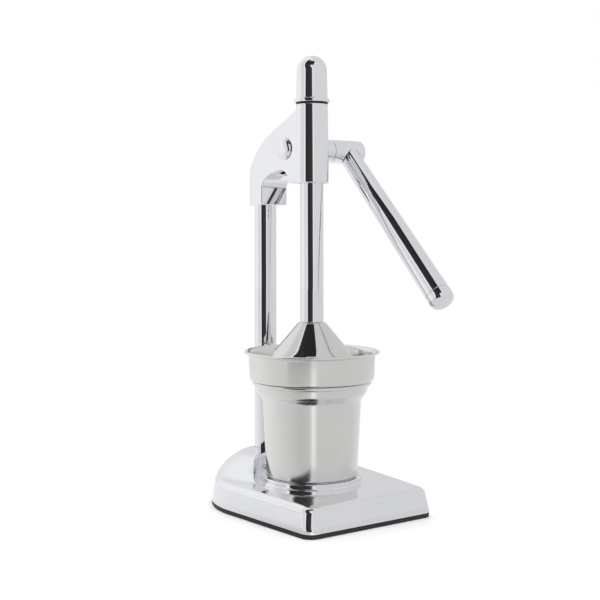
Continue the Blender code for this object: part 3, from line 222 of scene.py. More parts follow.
def write_mesh(name: str, points: Array, faces: Sequence[Array]) -> Piece:
    """Put arrays of points and faces into a mesh object, with its faces outwards.

    The enclosed volume is the sum of v0 . (v1 x v2) / 6 over the faces' triangles; where it
    is negative, every face is turned round.

    Args:
        name: the piece's name.
        points: one row for each point, in millimetres.
        faces: arrays of corner numbers, one array for each number of corners.

    Returns:
        The new object, at the origin, unturned and unscaled.
    """
    volume = 0.0
    for block in faces:
        for second in range(1, block.shape[1] - 1):
            a, b, c = points[block[:, 0]], points[block[:, second]], points[block[:, second + 1]]
            volume += float(np.einsum("ij,ij->", a, np.cross(b, c)))
    turn = slice(None, None, -1) if volume < 0 else slice(None)
    mesh = bpy.data.meshes.new(name)
    listed = [row for block in faces for row in block[:, turn].tolist()]
    mesh.from_pydata((points * MM).tolist(), [], listed)
    mesh.shade_smooth()
    piece = bpy.data.objects.new(name, mesh)
    bpy.context.scene.collection.objects.link(piece)
    return piece


def on_axis(height: float) -> Array:
    """The point of the Z axis at a height."""
    return np.array([0.0, 0.0, height])


def quarter(steps: int) -> Array:
    """Angles of a quarter turn, spread evenly."""
    return np.radians(np.linspace(0.0, 90.0, steps + 1))


def surface(name: str, grid: Array, loop: bool = False, first_pole: Array | None = None,
            last_pole: Array | None = None) -> Piece:
    """A closed surface over a grid of rings.

    Each ring's points follow one another round, so point j of ring i joins point j + 1 and
    the same two points of ring i + 1. A pole closes the first or last ring with a fan.

    Args:
        name: the piece's name.
        grid: points as rings x columns x 3, in millimetres.
        loop: True if the last ring joins the first.
        first_pole: point that closes the first ring.
        last_pole: point that closes the last ring.

    Returns:
        The new object.
    """
    rings, columns = grid.shape[:2]
    number = np.arange(rings * columns).reshape(rings, columns)
    here = number if loop else number[:-1]
    above = np.roll(number, -1, axis=0) if loop else number[1:]
    quads = np.stack([here, np.roll(here, -1, axis=1), np.roll(above, -1, axis=1), above], axis=-1)
    points = [grid.reshape(-1, 3)]
    faces = [quads.reshape(-1, 4)]
    total = rings * columns
    for pole, ring, step in ((first_pole, number[0], 1), (last_pole, number[-1], -1)):
        if pole is not None:
            points.append(np.asarray(pole, float).reshape(1, 3))
            far = np.full(columns, total)
            fan = np.stack([far, np.roll(ring, -1), ring][::step], axis=-1)
            faces.append(fan)
            total += 1
    return write_mesh(name, np.concatenate(points), faces)


def rounded_profile(corners: Sequence[Corner], closed: bool = False, steps: int = 6) -> Array:
    """A polygon's points with its corners rounded.

    Each corner becomes an arc that touches both sides: its centre lies on the bisector at
    radius / sin(half the corner's angle), and its points turn evenly from one touching
    radius to the other. A point just past each end of the arc keeps the flat beside it flat.

    Args:
        corners: triples of radius from the axis, height and rounding.
        closed: True if the last corner joins the first.
        steps: segments in each arc.

    Returns:
        Pairs of radius and height.
    """
    points = np.array([corner[:2] for corner in corners], float)
    made: list[Array] = []
    for i, (point, rounding) in enumerate(zip(points, [corner[2] for corner in corners])):
        if rounding <= 0 or (not closed and i in (0, len(points) - 1)):
            made.append(point[None])
            continue
        before, after = points[i - 1] - point, points[(i + 1) % len(points)] - point
        long_before, long_after = np.linalg.norm(before), np.linalg.norm(after)
        before, after = before / long_before, after / long_after
        half = math.acos(float(np.clip(before @ after, -1.0, 1.0))) / 2
        reach = rounding / math.tan(half)
        bisector = (before + after) / np.linalg.norm(before + after)
        centre = point + bisector * rounding / math.sin(half)
        first, last = point + before * reach - centre, point + after * reach - centre
        sweep = math.pi - 2 * half
        share = np.linspace(0.0, 1.0, steps + 1)[:, None]
        arc = centre + (first * np.sin((1 - share) * sweep) + last * np.sin(share * sweep)) \
            / math.sin(sweep)
        hold_before = min(0.4 * rounding, 0.3 * max(long_before - reach, 0.0))
        hold_after = min(0.4 * rounding, 0.3 * max(long_after - reach, 0.0))
        made += [arc[:1] + before * hold_before, arc, arc[-1:] + after * hold_after]
    line = np.concatenate(made)
    apart = np.linalg.norm(np.diff(line, axis=0), axis=1) > 1e-4
    return line[np.concatenate([[True], apart])]


def bezier(start: Sequence[float], pull_a: Sequence[float], pull_b: Sequence[float],
           end: Sequence[float], steps: int) -> Array:
    """A cubic Bezier curve: its four points weighted by the Bernstein polynomials.

    Args:
        start: the first point.
        pull_a: the handle that the curve leaves towards.
        pull_b: the handle that the curve arrives from.
        end: the last point.
        steps: segments in the curve.

    Returns:
        Pairs of coordinates, the end points with them.
    """
    t = np.linspace(0.0, 1.0, steps + 1)[:, None]
    weights = np.hstack([(1 - t) ** 3, 3 * t * (1 - t) ** 2, 3 * t * t * (1 - t), t ** 3])
    return weights @ np.array([start, pull_a, pull_b, end], float)


def arc_line(centre: Sequence[float], radius: float, start: float, end: float,
             steps: int) -> Array:
    """An arc: centre + radius x (cos, sin) of angles that are spread evenly.

    Args:
        centre: the arc's centre.
        radius: its radius.
        start: the first angle, in degrees.
        end: the last angle, in degrees.
        steps: segments in the arc.

    Returns:
        Pairs of coordinates.
    """
    angle = np.radians(np.linspace(start, end, steps + 1))
    return np.array(centre, float) + radius * np.stack([np.cos(angle), np.sin(angle)], axis=1)


def beside(line: Array, distance: float) -> Array:
    """A line moved sideways: each point goes along the mean of its edges' normals.

    Args:
        line: pairs of coordinates.
        distance: how far to the left of the line's own direction.

    Returns:
        As many pairs of coordinates.
    """
    along = np.gradient(line, axis=0)
    along /= np.linalg.norm(along, axis=1, keepdims=True)
    return line + distance * np.stack([-along[:, 1], along[:, 0]], axis=1)


class Axis(Enum):
    """The direction that a turned piece's own axis takes, as rows of a turning matrix."""

    UP = ((1, 0, 0), (0, 1, 0), (0, 0, 1))
    RIGHT = ((0, 0, 1), (0, 1, 0), (-1, 0, 0))
    BACK = ((1, 0, 0), (0, 0, 1), (0, -1, 0))


# Turns a flat outline upright, so that its two coordinates become Y and Z.
SIDE_VIEW = ((0, 0, 1), (1, 0, 0), (0, 1, 0))


def turned(name: str, profile: Array, centre: Sequence[float] = (0, 0, 0),
           axis: Axis | Array = Axis.UP, columns: int = 128) -> Piece:
    """A piece turned on a lathe.

    A profile point (r, h) becomes (r cos a, r sin a, h) for angles a round the axis, which is
    then turned into its own direction and moved to its centre.

    Args:
        name: the piece's name.
        profile: pairs of radius and height; a closed loop unless it starts and ends on the axis.
        centre: where the axis's zero lies, in millimetres.
        axis: the axis's direction.
        columns: points in each ring.

    Returns:
        The new object.
    """
    matrix = np.array(axis.value if isinstance(axis, Axis) else axis, float)
    middle = np.array(centre, float)
    angle = np.linspace(0.0, 2 * math.pi, columns, endpoint=False)
    at_axis = profile[:, 0] < 1e-6
    body = profile[~at_axis]
    radius, height = body[:, :1], np.repeat(body[:, 1:], columns, axis=1)
    grid = np.stack([radius * np.cos(angle), radius * np.sin(angle), height], axis=-1)
    ends = [on_axis(profile[i, 1]) @ matrix.T + middle if at_axis[i] else None for i in (0, -1)]
    loop = not at_axis.any()
    return surface(name, grid @ matrix.T + middle, loop, ends[0], ends[1])


def plug(name: str, radius: float, start: float, end: float, centre: Sequence[float] = (0, 0, 0),
         axis: Axis | Array = Axis.UP, columns: int = 72) -> Piece:
    """A plain round solid between two places along its axis."""
    profile = np.array([(0.0, start), (radius, start), (radius, end), (0.0, end)])
    return turned(name, profile, centre, axis, columns)


def drawn_out(name: str, outline: Array, low: float, high: float,
              matrix: Sequence[Sequence[float]] = Axis.UP.value,
              copies: Array | None = None) -> Piece:
    """A flat outline drawn out between two heights, once or at several places.

    A point (u, v) of the outline becomes (u, v, low) and (u, v, high), and the matrix turns
    it into place; each copy is turned by its own matrix.

    Args:
        name: the piece's name.
        outline: pairs of coordinates, in order round the outline.
        low: the first height.
        high: the second height.
        matrix: turning matrix for the whole.
        copies: more turning matrices, one for each copy.

    Returns:
        The new object.
    """
    count = len(outline)
    flat = np.repeat(np.array([low, high], float), count)[:, None]
    points = np.hstack([np.tile(outline, (2, 1)), flat]) @ np.array(matrix, float).T
    here = np.arange(count)
    after = np.roll(here, -1)
    walls = np.stack([here, after, after + count, here + count], axis=1)
    caps = np.stack([here[::-1], here + count])
    turns = np.eye(3)[None] if copies is None else copies
    shift = (np.arange(len(turns)) * 2 * count)[:, None, None]
    all_points = np.einsum("kij,nj->kni", turns, points).reshape(-1, 3)
    return write_mesh(name, all_points, [(walls[None] + shift).reshape(-1, 4),
                                         (caps[None] + shift).reshape(-1, count)])


def shape_with(piece: Piece, cuts: Sequence[Piece] = (), joins: Sequence[Piece] = (),
               trims: Sequence[Piece] = ()) -> None:
    """Trim, join and cut a piece with other solids, and keep the result as its mesh.

    Points that a cut leaves almost on one another are merged, and slits of a triangle or a
    quadrangle that this opens are filled.

    Args:
        piece: the piece.
        cuts: solids that are taken out.
        joins: solids that are added.
        trims: solids outside which the piece is taken away.
    """
    groups = (("INTERSECT", trims), ("UNION", joins), ("DIFFERENCE", cuts))
    for operation, tools in groups:
        for tool in tools:
            modifier = piece.modifiers.new(tool.name, "BOOLEAN")
            modifier.operation, modifier.object, modifier.solver = operation, tool, "EXACT"
    graph = bpy.context.evaluated_depsgraph_get()
    mesh = bpy.data.meshes.new_from_object(piece.evaluated_get(graph))
    piece.modifiers.clear()
    clean = bmesh.new()
    clean.from_mesh(mesh)
    bmesh.ops.remove_doubles(clean, verts=clean.verts, dist=MERGE_MM * MM)
    bmesh.ops.dissolve_degenerate(clean, edges=clean.edges, dist=MERGE_MM * MM)
    slits = [edge for edge in clean.edges if edge.is_boundary]
    bmesh.ops.holes_fill(clean, edges=slits, sides=4)
    clean.to_mesh(mesh)
    clean.free()
    piece.data = mesh
    mesh.shade_smooth()
    for tool in (*cuts, *joins, *trims):
        bpy.data.objects.remove(tool)


def bevelled(piece: Piece, width: float, segments: int) -> None:
    """Round a solid's edges that turn by more than the bevel angle.

    Args:
        piece: the solid.
        width: width of the rounding, in millimetres.
        segments: faces across it.
    """
    bevel = piece.modifiers.new("round_edges", "BEVEL")
    bevel.width, bevel.segments = width * MM, segments
    bevel.limit_method, bevel.angle_limit = "ANGLE", BEVEL_ANGLE


def box_mm(node: str) -> tuple[Array, Array]:
    """Lowest and highest corner of a CAD node, in millimetres."""
    low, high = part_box(node)
    return np.array(low) / MM, np.array(high) / MM


def pivot_mm() -> Array:
    """Centre of the lever's pivot, in millimetres."""
    pivot = next(joint for joint in frame["joints"] if joint["name"] == "lever_pivot")
    return np.array(pivot["pos_m"]) / MM


def dress(piece: Piece, finish: Finish, body: str, *nodes: str) -> Piece:
    """Give a piece its finish and its body, and let it stand for its CAD nodes.

    Args:
        piece: the finished piece.
        finish: its finish.
        body: the body it rides on.
        nodes: the CAD nodes it stands for.

    Returns:
        The same piece.
    """
    piece.data.materials.clear()
    piece.data.materials.append(finish.material())
    piece.data.set_sharp_from_angle(angle=SHARP_ANGLE)
    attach(piece, body)
    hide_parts(*nodes)
    LOG.info("%s: %d faces, %s", piece.name, len(piece.data.polygons), finish.name)
    return piece


# ---------------------------------------------------------------- base and column

@dataclass
class Base:
    """The chromed base with its mound and cup seat, and the rubber mat under it."""

    front: float = 94.0
    rear_radius: float = 81.4
    rear_centre: float = 28.0
    flare: float = math.radians(5.0)
    corner_radius: float = 11.0
    draft: float = 0.16
    edge_round: float = 6.0
    wall: float = 3.0
    bottom: float = 4.0
    level: float = 26.8
    peak: float = 45.5
    mound_centre: float = 55.0
    mound_top: float = 34.0
    mound_foot: float = 70.0
    recess_radius: float = 55.3
    seat_level: float = 29.5
    seat_top: float = 31.7
    seat_inner: float = 44.8
    seat_outer: float = 47.8
    column_y: float = 80.6
    column_hole: float = 11.3
    seat_floor: float = 36.3
    screw_space: float = 4.1
    mat_inner: float = 40.0
    # The recess lip's rounding, the wall's height from which it is full, and its least share.
    lip_round: float = 1.3
    lip_full_at: float = 2.5
    lip_least: float = 0.02
    # The side's rings: how far up each lies, and how far the bottom edge's rounding moves it in.
    side_rings: tuple[float, ...] = (0.0, 0.02, 0.06, 0.35, 0.65, 0.94, 0.98)
    side_bites: tuple[float, ...] = (0.5, 0.15, 0.0, 0.0, 0.0, 0.0, 0.0)

    def outline(self, inset: Array) -> Array:
        """The base's plan, moved in.

        Two front corners are arcs, the sides flare by the flare angle, and the back is an arc
        about the rear centre. Every inset has the same number of points, so that rings join.

        Args:
            inset: one inset for each ring.

        Returns:
            Rings x points x 2.
        """
        inset = np.atleast_1d(inset)[:, None]
        rear = self.rear_radius - inset
        corner_y = -self.front + inset + self.corner_radius
        reach = rear - self.corner_radius + math.sin(self.flare) * (corner_y - self.rear_centre)
        corner_x = reach / math.cos(self.flare)
        turn = np.linspace(-math.pi / 2, -self.flare, 17)
        corner = np.stack([corner_x + self.corner_radius * np.cos(turn),
                           corner_y + self.corner_radius * np.sin(turn)], axis=-1)
        sweep = np.linspace(-self.flare, math.pi + self.flare, 121)
        back = np.stack([rear * np.cos(sweep), self.rear_centre + rear * np.sin(sweep)], axis=-1)
        share = np.linspace(0.0, 1.0, 20)[1:-1][None, :, None]
        side = corner[:, -1:] * (1 - share) + back[:, :1] * share
        mirror = np.array([-1.0, 1.0])
        left_corner = corner[:, ::-1] * mirror
        front = left_corner[:, -1:] * (1 - share) + corner[:, :1] * share
        return np.concatenate([corner, side, back, side[:, ::-1] * mirror, left_corner, front],
                              axis=1)

    def ring(self, inset: float) -> Array:
        """The base's plan moved in by one inset, as points x 2."""
        return self.outline(np.array([inset]))[0]

    def height(self, plan: Array) -> Array:
        """The top's height: the level, plus a mound that falls as 3t^2 - 2t^3 with distance.

        Args:
            plan: points as X and Y, in an array of any shape.

        Returns:
            A height for each point.
        """
        far = np.hypot(plan[..., 0], plan[..., 1] - self.mound_centre)
        t = np.clip((self.mound_foot - far) / (self.mound_foot - self.mound_top), 0.0, 1.0)
        return self.level + (self.peak - self.level) * t * t * (3 - 2 * t)

    def skin(self, inward: float, edge: float, soft: float, rows: int) -> Array:
        """Rings from the bottom edge up the side, over the top and down into the cup's seat.

        The side is drafted. Over the top edge the inset is edge x (1 - cos a) and the fall
        edge x (1 - sin a). The top runs on straight lines from there to the recess circle, at
        the height function's level; the recess wall is as high as the mound there.

        Args:
            inward: how far the skin lies inside the outer one.
            edge: rounding of the top edge.
            soft: share of the small roundings that are kept.
            rows: rings over the top.

        Returns:
            Rings x points x 3.
        """
        top_here = self.height(self.ring(inward)) - inward
        rings = []
        for t, bite in zip(self.side_rings, self.side_bites):
            z = self.bottom + t * (top_here - edge - self.bottom)
            risen = float(np.mean(z)) - self.bottom
            rings.append(np.column_stack([self.ring(inward + soft * bite + self.draft * risen), z]))
        side_top = float(np.mean(top_here)) - edge - self.bottom
        for angle in quarter(10):
            ring = self.ring(inward + self.draft * side_top + edge * (1 - math.cos(angle)))
            z = self.height(ring) - inward - edge * (1 - math.sin(angle))
            rings.append(np.column_stack([ring, z]))
        start = rings[-1][:, :2]
        turn = np.arctan2(start[:, 1], start[:, 0])
        spoke = np.stack([np.cos(turn), np.sin(turn)], axis=1)
        radius = self.recess_radius + inward
        wall = self.height(spoke * radius) - self.level
        lip = np.clip(wall / self.lip_full_at, self.lip_least, 1.0) * self.lip_round * soft
        end = spoke * (radius + lip)[:, None]
        # The first ring lies just past the rounded edge, so that the flat beside it stays flat.
        for t in np.concatenate([[0.02], np.linspace(0.0, 1.0, rows + 1)[1:]]):
            plan = start * (1 - t) + end * t
            rings.append(np.column_stack([plan, self.height(plan) - inward]))
        top = self.height(end) - inward
        floor = self.level - inward
        for angle in quarter(5)[1:]:
            plan = spoke * (radius + lip * (1 - math.sin(angle)))[:, None]
            z = np.maximum(top - lip * (1 - math.cos(angle)), floor)
            rings.append(np.column_stack([plan, z]))
        wall_low = np.minimum(floor + lip, rings[-1][:, 2])
        rings.append(np.column_stack([spoke * radius, (rings[-1][:, 2] + wall_low) / 2]))
        for angle in quarter(5):
            plan = spoke * (radius - lip * (1 - math.cos(angle)))[:, None]
            z = floor + (wall_low - floor) * (1 - math.sin(angle))
            rings.append(np.column_stack([plan, z]))
        if soft:
            seat = rounded_profile([(radius - 2.0, floor, 0.0), (self.seat_outer, floor, 1.0),
                                    (self.seat_outer, self.seat_top, 0.7),
                                    (self.seat_inner, self.seat_top, 0.6),
                                    (self.seat_inner, self.seat_level, 0.4),
                                    (self.seat_inner - 6.0, self.seat_level, 0.0)])
        else:
            seat = np.array([(radius - 3.0, floor), (self.seat_inner - 6.0, floor)])
        rings += [np.column_stack([spoke * r, np.full(len(spoke), z)]) for r, z in seat]
        return np.stack(rings)

    def build_shell(self) -> None:
        """The chromed shell: an outer skin and an inner skin that meet at the bottom edge."""
        outer = self.skin(0.0, self.edge_round, 1.0, 28)
        inner = self.skin(self.wall, 1.0, 0.0, 10)[::-1]
        shell = surface("base_shell_looks", np.concatenate([inner, outer]), False,
                        on_axis(self.level - self.wall), on_axis(self.seat_level))
        hole = plug("column_hole", self.column_hole, self.peak + PAST, self.seat_floor,
                    (0.0, self.column_y, 0.0), columns=128)
        shape_with(shell, cuts=[hole])
        dress(shell, CHROME, "frame", "base_shell")

    def build_mat(self) -> None:
        """The rubber mat: the plan moved in a little, with soft edges and room for the screws."""
        low, high = box_mm("base_mat")
        inset = self.front + float(low[1])
        line = rounded_profile([(self.mat_inner, low[2], 0.0), (inset, low[2], 0.7),
                                (inset, high[2], 0.5), (self.mat_inner, high[2], 0.0)])
        rings = self.outline(line[:, 0])
        heights = np.repeat(line[:, 1:], rings.shape[1], axis=1)[..., None]
        mat = surface("base_mat_looks", np.concatenate([rings, heights], axis=-1), False,
                      on_axis(low[2]), on_axis(high[2]))
        holes = []
        for number in range(1, 5):
            screw_low, screw_high = box_mm(f"base_screw_{number}")
            x, y, _ = (screw_low + screw_high) / 2
            holes.append(plug(f"screw_space_{number}", self.screw_space, low[2] - PAST,
                              high[2] + PAST, (x, y, 0.0), columns=32))
        shape_with(mat, cuts=holes)
        dress(mat, RUBBER, "frame", "base_mat")

    def build(self) -> None:
        """Both pieces of the base."""
        self.build_shell()
        self.build_mat()


@dataclass
class Column:
    """The chromed tube between the base and the head."""

    wall: float = 1.5

    def build(self) -> None:
        """A straight tube with eased ends."""
        low, high = box_mm("column_tube")
        radius = (high[1] - low[1]) / 2
        inner = radius - self.wall
        profile = rounded_profile([(inner, low[2], 0.3), (radius, low[2], 0.4),
                                   (radius, high[2], 0.4), (inner, high[2], 0.3)], closed=True)
        tube = turned("column_tube_looks", profile, (0.0, (low[1] + high[1]) / 2, 0.0))
        dress(tube, CHROME, "frame", "column_tube")


# ---------------------------------------------------------------- head

@dataclass
class Head:
    """The chromed head casting: sleeve, crest, arch, column socket and pivot boss."""

    thickness: float = 30.6
    edge_round: float = 2.5
    sleeve_top_radius: float = 15.2
    sleeve_foot_radius: float = 16.1
    sleeve_height: float = 75.2
    bush_radius: float = 13.3
    bush_length: float = 12.3
    bore: float = 11.6
    socket_radius: float = 15.8
    socket_depth: float = 22.0
    boss_radius: float = 11.5
    boss_end: float = 38.3
    slot_radius: float = 17.3
    slot_half: float = 7.0
    shaft_bore: float = 7.8
    tie_bore: float = 4.3
    lock_bore: float = 2.8
    column_bore: float = 11.3
    column_y: float = 80.6
    crest_rise: float = 21.3
    # The side view's turning points, as distances from the sleeve, the pivot and the column.
    web_past_sleeve: float = 2.8
    apex_behind_pivot: float = 7.8
    apex_under_slot: float = 3.0
    leg_height: float = 17.0
    arch_into_socket: float = 0.3
    back_past_socket: float = 1.0
    crest_end: tuple[float, float] = (26.7, 14.8)
    # The curves' handles: how far each reaches from the point before it or after it.
    front_arch_pulls: tuple[float, float] = (5.0, 7.6)
    rear_arch_pulls: tuple[float, float] = (13.4, 6.0)
    back_pulls: tuple[float, float, float] = (26.0, 0.6, 1.0)
    # The loading slot lies behind the pinion's and below it; the mouth opens both downwards.
    loading_back: float = 12.2
    loading_slope: float = 0.57
    mouth_wall: float = 1.9
    pivot: Array = field(default_factory=lambda: np.zeros(3))

    def outline(self, bottom: float, sleeve_low: float) -> Array:
        """The side view as (Y, Z) points: crest, front web, arch, socket and rounded back.

        Args:
            bottom: height of the column socket's lower end.
            sleeve_low: height of the plunger sleeve's lower end.

        Returns:
            Pairs of Y and Z, in order round the outline.
        """
        pivot_y, pivot_z = self.pivot[1:]
        front = self.column_y - self.socket_radius - self.arch_into_socket
        back = self.column_y + self.socket_radius + self.back_past_socket
        web = self.sleeve_top_radius + self.web_past_sleeve
        apex_y = pivot_y + self.apex_behind_pivot
        apex_z = pivot_z - self.slot_radius - self.apex_under_slot
        down, forward = self.front_arch_pulls
        backward, down_rear = self.rear_arch_pulls
        up, ahead, above = self.back_pulls
        return np.concatenate([
            [(0.0, pivot_z + self.slot_radius + self.crest_rise), (0.0, sleeve_low + 1.0)],
            bezier((web, sleeve_low + 0.3), (web, apex_z - down), (apex_y - forward, apex_z),
                   (apex_y, apex_z), 24),
            bezier((apex_y, apex_z), (apex_y + backward, apex_z), (front, apex_z - down_rear),
                   (front, bottom + self.leg_height), 32)[1:],
            [(front, bottom)],
            bezier((back, bottom), (back, bottom + up), (self.column_y - ahead, pivot_z + above),
                   (self.column_y - self.crest_end[0], pivot_z + self.crest_end[1]), 48)])

    def cutters(self, bottom: float, sleeve_low: float) -> list[Piece]:
        """The solids of all bores and slots.

        Args:
            bottom: height of the column socket's lower end.
            sleeve_low: height of the plunger sleeve's lower end.

        Returns:
            The plunger's bore, the pinion's slots, and the shaft's, column's, tie rod's and
            lock screw's bores.
        """
        seat, sleeve_top = self.bush_length, sleeve_low + self.sleeve_height
        bore = turned("bore", np.array([
            (0.0, sleeve_low - PAST), (self.bush_radius, sleeve_low - PAST),
            (self.bush_radius, sleeve_low + seat), (self.bore, sleeve_low + seat),
            (self.bore, sleeve_top - seat), (self.bush_radius, sleeve_top - seat),
            (self.bush_radius, sleeve_top + PAST), (0.0, sleeve_top + PAST)]), columns=96)
        # Each slot is a little narrower than the one before, so that no two sides share a plane.
        lower = self.pivot + self.loading_back * np.array([0.0, 1.0, -self.loading_slope])
        wide, narrow, least = self.slot_half * np.array([1.0, 0.995, 0.99])
        front, rear = self.sleeve_foot_radius + self.mouth_wall, lower[1] + self.slot_radius
        mouth = np.array([(front, sleeve_low), (rear, sleeve_low), (rear, lower[2]),
                          (front, lower[2])])
        column = np.array([0.0, self.column_y, 0.0])
        socket_top = bottom + self.socket_depth
        lock = column + on_axis(bottom + self.socket_depth / 2)
        return [
            bore,
            plug("pinion_slot", self.slot_radius, -wide, wide, self.pivot, Axis.RIGHT),
            plug("loading_slot", self.slot_radius, -narrow, narrow, lower, Axis.RIGHT),
            drawn_out("slot_mouth", mouth, -least, least, SIDE_VIEW),
            plug("shaft_bore", self.shaft_bore, -self.thickness / 2 - PAST, self.boss_end + PAST,
                 self.pivot, Axis.RIGHT),
            plug("socket", self.column_bore, bottom - PAST, socket_top, column),
            plug("tie", self.tie_bore, bottom, socket_top + PAST, column),
            plug("lock", self.lock_bore, 0.0, self.socket_radius + PAST, lock, Axis.BACK)]

    def build(self) -> None:
        """The casting as one piece, with its bores and the pinion's slot."""
        self.pivot = pivot_mm()
        bottom = float(box_mm("head_casting")[0][2])
        sleeve_low = float(box_mm("lower_guide_bush")[0][2])
        sleeve_top = sleeve_low + self.sleeve_height
        half = self.thickness / 2
        web = drawn_out("head_casting_looks", self.outline(bottom, sleeve_low), -half, half,
                        SIDE_VIEW)
        bevelled(web, self.edge_round, 6)
        round_back = arc_line((0.0, self.column_y), self.socket_radius, 0.0, 180.0, 64)
        plan = np.concatenate([[(-self.socket_radius, -PAST), (self.socket_radius, -PAST)],
                               round_back])
        trim = drawn_out("head_plan", plan, bottom - PAST, sleeve_top + PAST)
        sleeve = turned("sleeve", rounded_profile([
            (0.0, sleeve_low, 0.0), (self.sleeve_foot_radius, sleeve_low, 1.0),
            (self.sleeve_top_radius, sleeve_top, 0.8), (0.0, sleeve_top, 0.0)]), columns=144)
        boss = turned("boss", rounded_profile([
            (0.0, 0.0, 0.0), (self.boss_radius, 0.0, 0.0), (self.boss_radius, self.boss_end, 0.5),
            (0.0, self.boss_end, 0.0)]), self.pivot, Axis.RIGHT, 96)
        shape_with(web, self.cutters(bottom, sleeve_low), [sleeve, boss], [trim])
        web.data.set_sharp_from_angle(angle=SHARP_ANGLE)
        flats = web.modifiers.new("flat_sides", "WEIGHTED_NORMAL")
        flats.keep_sharp, flats.weight = True, 80
        dress(web, CHROME, "frame", "head_casting")


# ---------------------------------------------------------------- plunger and bell

@dataclass
class Plunger:
    """The toothed rod, its domed cap and stop washer, and the press bell."""

    radius: float = 11.0
    module: float = 2.0
    tooth_floor: float = 6.3
    gap_floor_half: float = 0.80
    gap_mouth_half: float = 2.51
    first_gap: int = -10
    last_gap: int = 2
    lip_height: float = 3.6
    cap_side_radius: float = 15.0
    dome_radius: float = 14.3
    cap_bore: float = 11.3
    cap_bore_depth: float = 16.0
    bell_wall: float = 1.2
    bell_top_radius: float = 12.9
    hip_radius: float = 35.5
    hip_drop: float = 27.0
    hip_pull: tuple[float, float] = (4.0, 5.2)
    skirt_pull: tuple[float, float] = (0.4, 7.0)
    bolt_hole: float = 3.3
    columns: int = 144

    def build_rod(self) -> None:
        """The rod with its rack.

        A ring's point is (R cos a, min(R sin a, c(z)), z), where the chord c(z) falls from R to
        the tooth floor across each gap's flanks, so that the gaps are cut across the back.
        """
        low, high = box_mm("plunger_rod")
        pivot_z = pivot_mm()[2]
        pitch = math.pi * self.module
        middles = pivot_z + pitch * np.arange(self.first_gap, self.last_gap + 1)
        mouth, floor = self.gap_mouth_half, self.gap_floor_half
        gaps = (middles[:, None] + np.array([-mouth, -floor, floor, mouth])).ravel()
        ends = rounded_profile([(0.0, low[2], 0.0), (self.radius, low[2], 0.5),
                                (self.radius, high[2], 0.5), (0.0, high[2], 0.0)], steps=4)[1:-1]
        foot, head = np.split(ends, 2)
        plain = np.linspace(low[2] + 5.0, gaps[0] - 2.0, 8)
        z = np.concatenate([foot[:, 1], plain, gaps, head[:, 1]])[:, None]
        straight = np.full(len(z) - len(ends), self.radius)
        radius = np.concatenate([foot[:, 0], straight, head[:, 0]])[:, None]
        near = np.abs(z - middles).min(axis=1, keepdims=True)
        rise = np.clip((near - floor) / (mouth - floor), 0.0, 1.0)
        chord = self.tooth_floor + (self.radius - self.tooth_floor) * rise
        angle = np.linspace(0.0, 2 * math.pi, self.columns, endpoint=False)
        y = np.minimum(radius * np.sin(angle), chord)
        grid = np.stack([radius * np.cos(angle), y, np.repeat(z, self.columns, axis=1)], axis=-1)
        rod = surface("plunger_rod_looks", grid, False, on_axis(low[2]), on_axis(high[2]))
        dress(rod, CHROME, "plunger", "plunger_rod")

    def build_cap(self) -> None:
        """The domed cap: a lip, a nearly straight side and a round top, bored for the rod."""
        low, high = box_mm("plunger_cap")
        lip = (high[0] - low[0]) / 2
        dome_z = high[2] - self.dome_radius
        side = rounded_profile([(self.cap_bore, low[2], 0.0), (lip, low[2], 0.5),
                                (lip, low[2] + self.lip_height, 0.9),
                                (self.cap_side_radius, low[2] + self.lip_height, 0.5),
                                (self.dome_radius, dome_z, 0.0)])
        dome = arc_line((0.0, dome_z), self.dome_radius, 0.0, 90.0, 28)[1:]
        dome[-1, 0] = 0.0
        bore_top = low[2] + self.cap_bore_depth
        profile = np.concatenate([[(0.0, bore_top), (self.cap_bore, bore_top)], side, dome])
        dress(turned("plunger_cap_looks", profile), CHROME, "plunger", "plunger_cap")

    def build_washer(self) -> None:
        """The rubber stop washer between the cap and the sleeve."""
        low, high = box_mm("cap_washer")
        radius = (high[0] - low[0]) / 2
        profile = rounded_profile([(self.cap_bore, low[2], 0.2), (radius, low[2], 0.35),
                                   (radius, high[2], 0.35), (self.cap_bore, high[2], 0.2)],
                                  closed=True)
        dress(turned("cap_washer_looks", profile), RUBBER, "plunger", "cap_washer")

    def build_bell(self) -> None:
        """The pressed bell: a cone from the rod, a soft hip and a skirt with a folded edge."""
        low, high = box_mm("press_bell")
        edge = (high[1] - low[1]) / 2
        fold_radius = self.bell_wall / 2
        fold_z = low[2] + fold_radius
        hip = np.array([self.hip_radius, high[2] - self.hip_drop])
        top = rounded_profile([(self.bolt_hole, high[2], 0.0),
                               (self.bell_top_radius, high[2], 2.2), (*hip, 0.0)])
        cone = top[-2] + (hip - top[-2]) * np.linspace(0.0, 1.0, 9)[1:, None]
        skirt = bezier(hip, hip + np.array([1, -1]) * self.hip_pull,
                       (edge - self.skirt_pull[0], low[2] + self.skirt_pull[1]), (edge, fold_z), 18)
        outer = np.concatenate([top[:-1], cone[:-1], skirt])
        inner = beside(outer, -self.bell_wall)
        inner[0, 0] = self.bolt_hole
        fold = arc_line((edge - fold_radius, fold_z), fold_radius, 0.0, -180.0, 8)[1:-1]
        bell = turned("press_bell_looks", np.concatenate([outer, fold, inner[::-1]]), columns=160)
        dress(bell, BUFFED_STEEL, "plunger", "press_bell")

    def build(self) -> None:
        """All pieces that go up and down with the plunger."""
        self.build_rod()
        self.build_cap()
        self.build_washer()
        self.build_bell()


# ---------------------------------------------------------------- lever

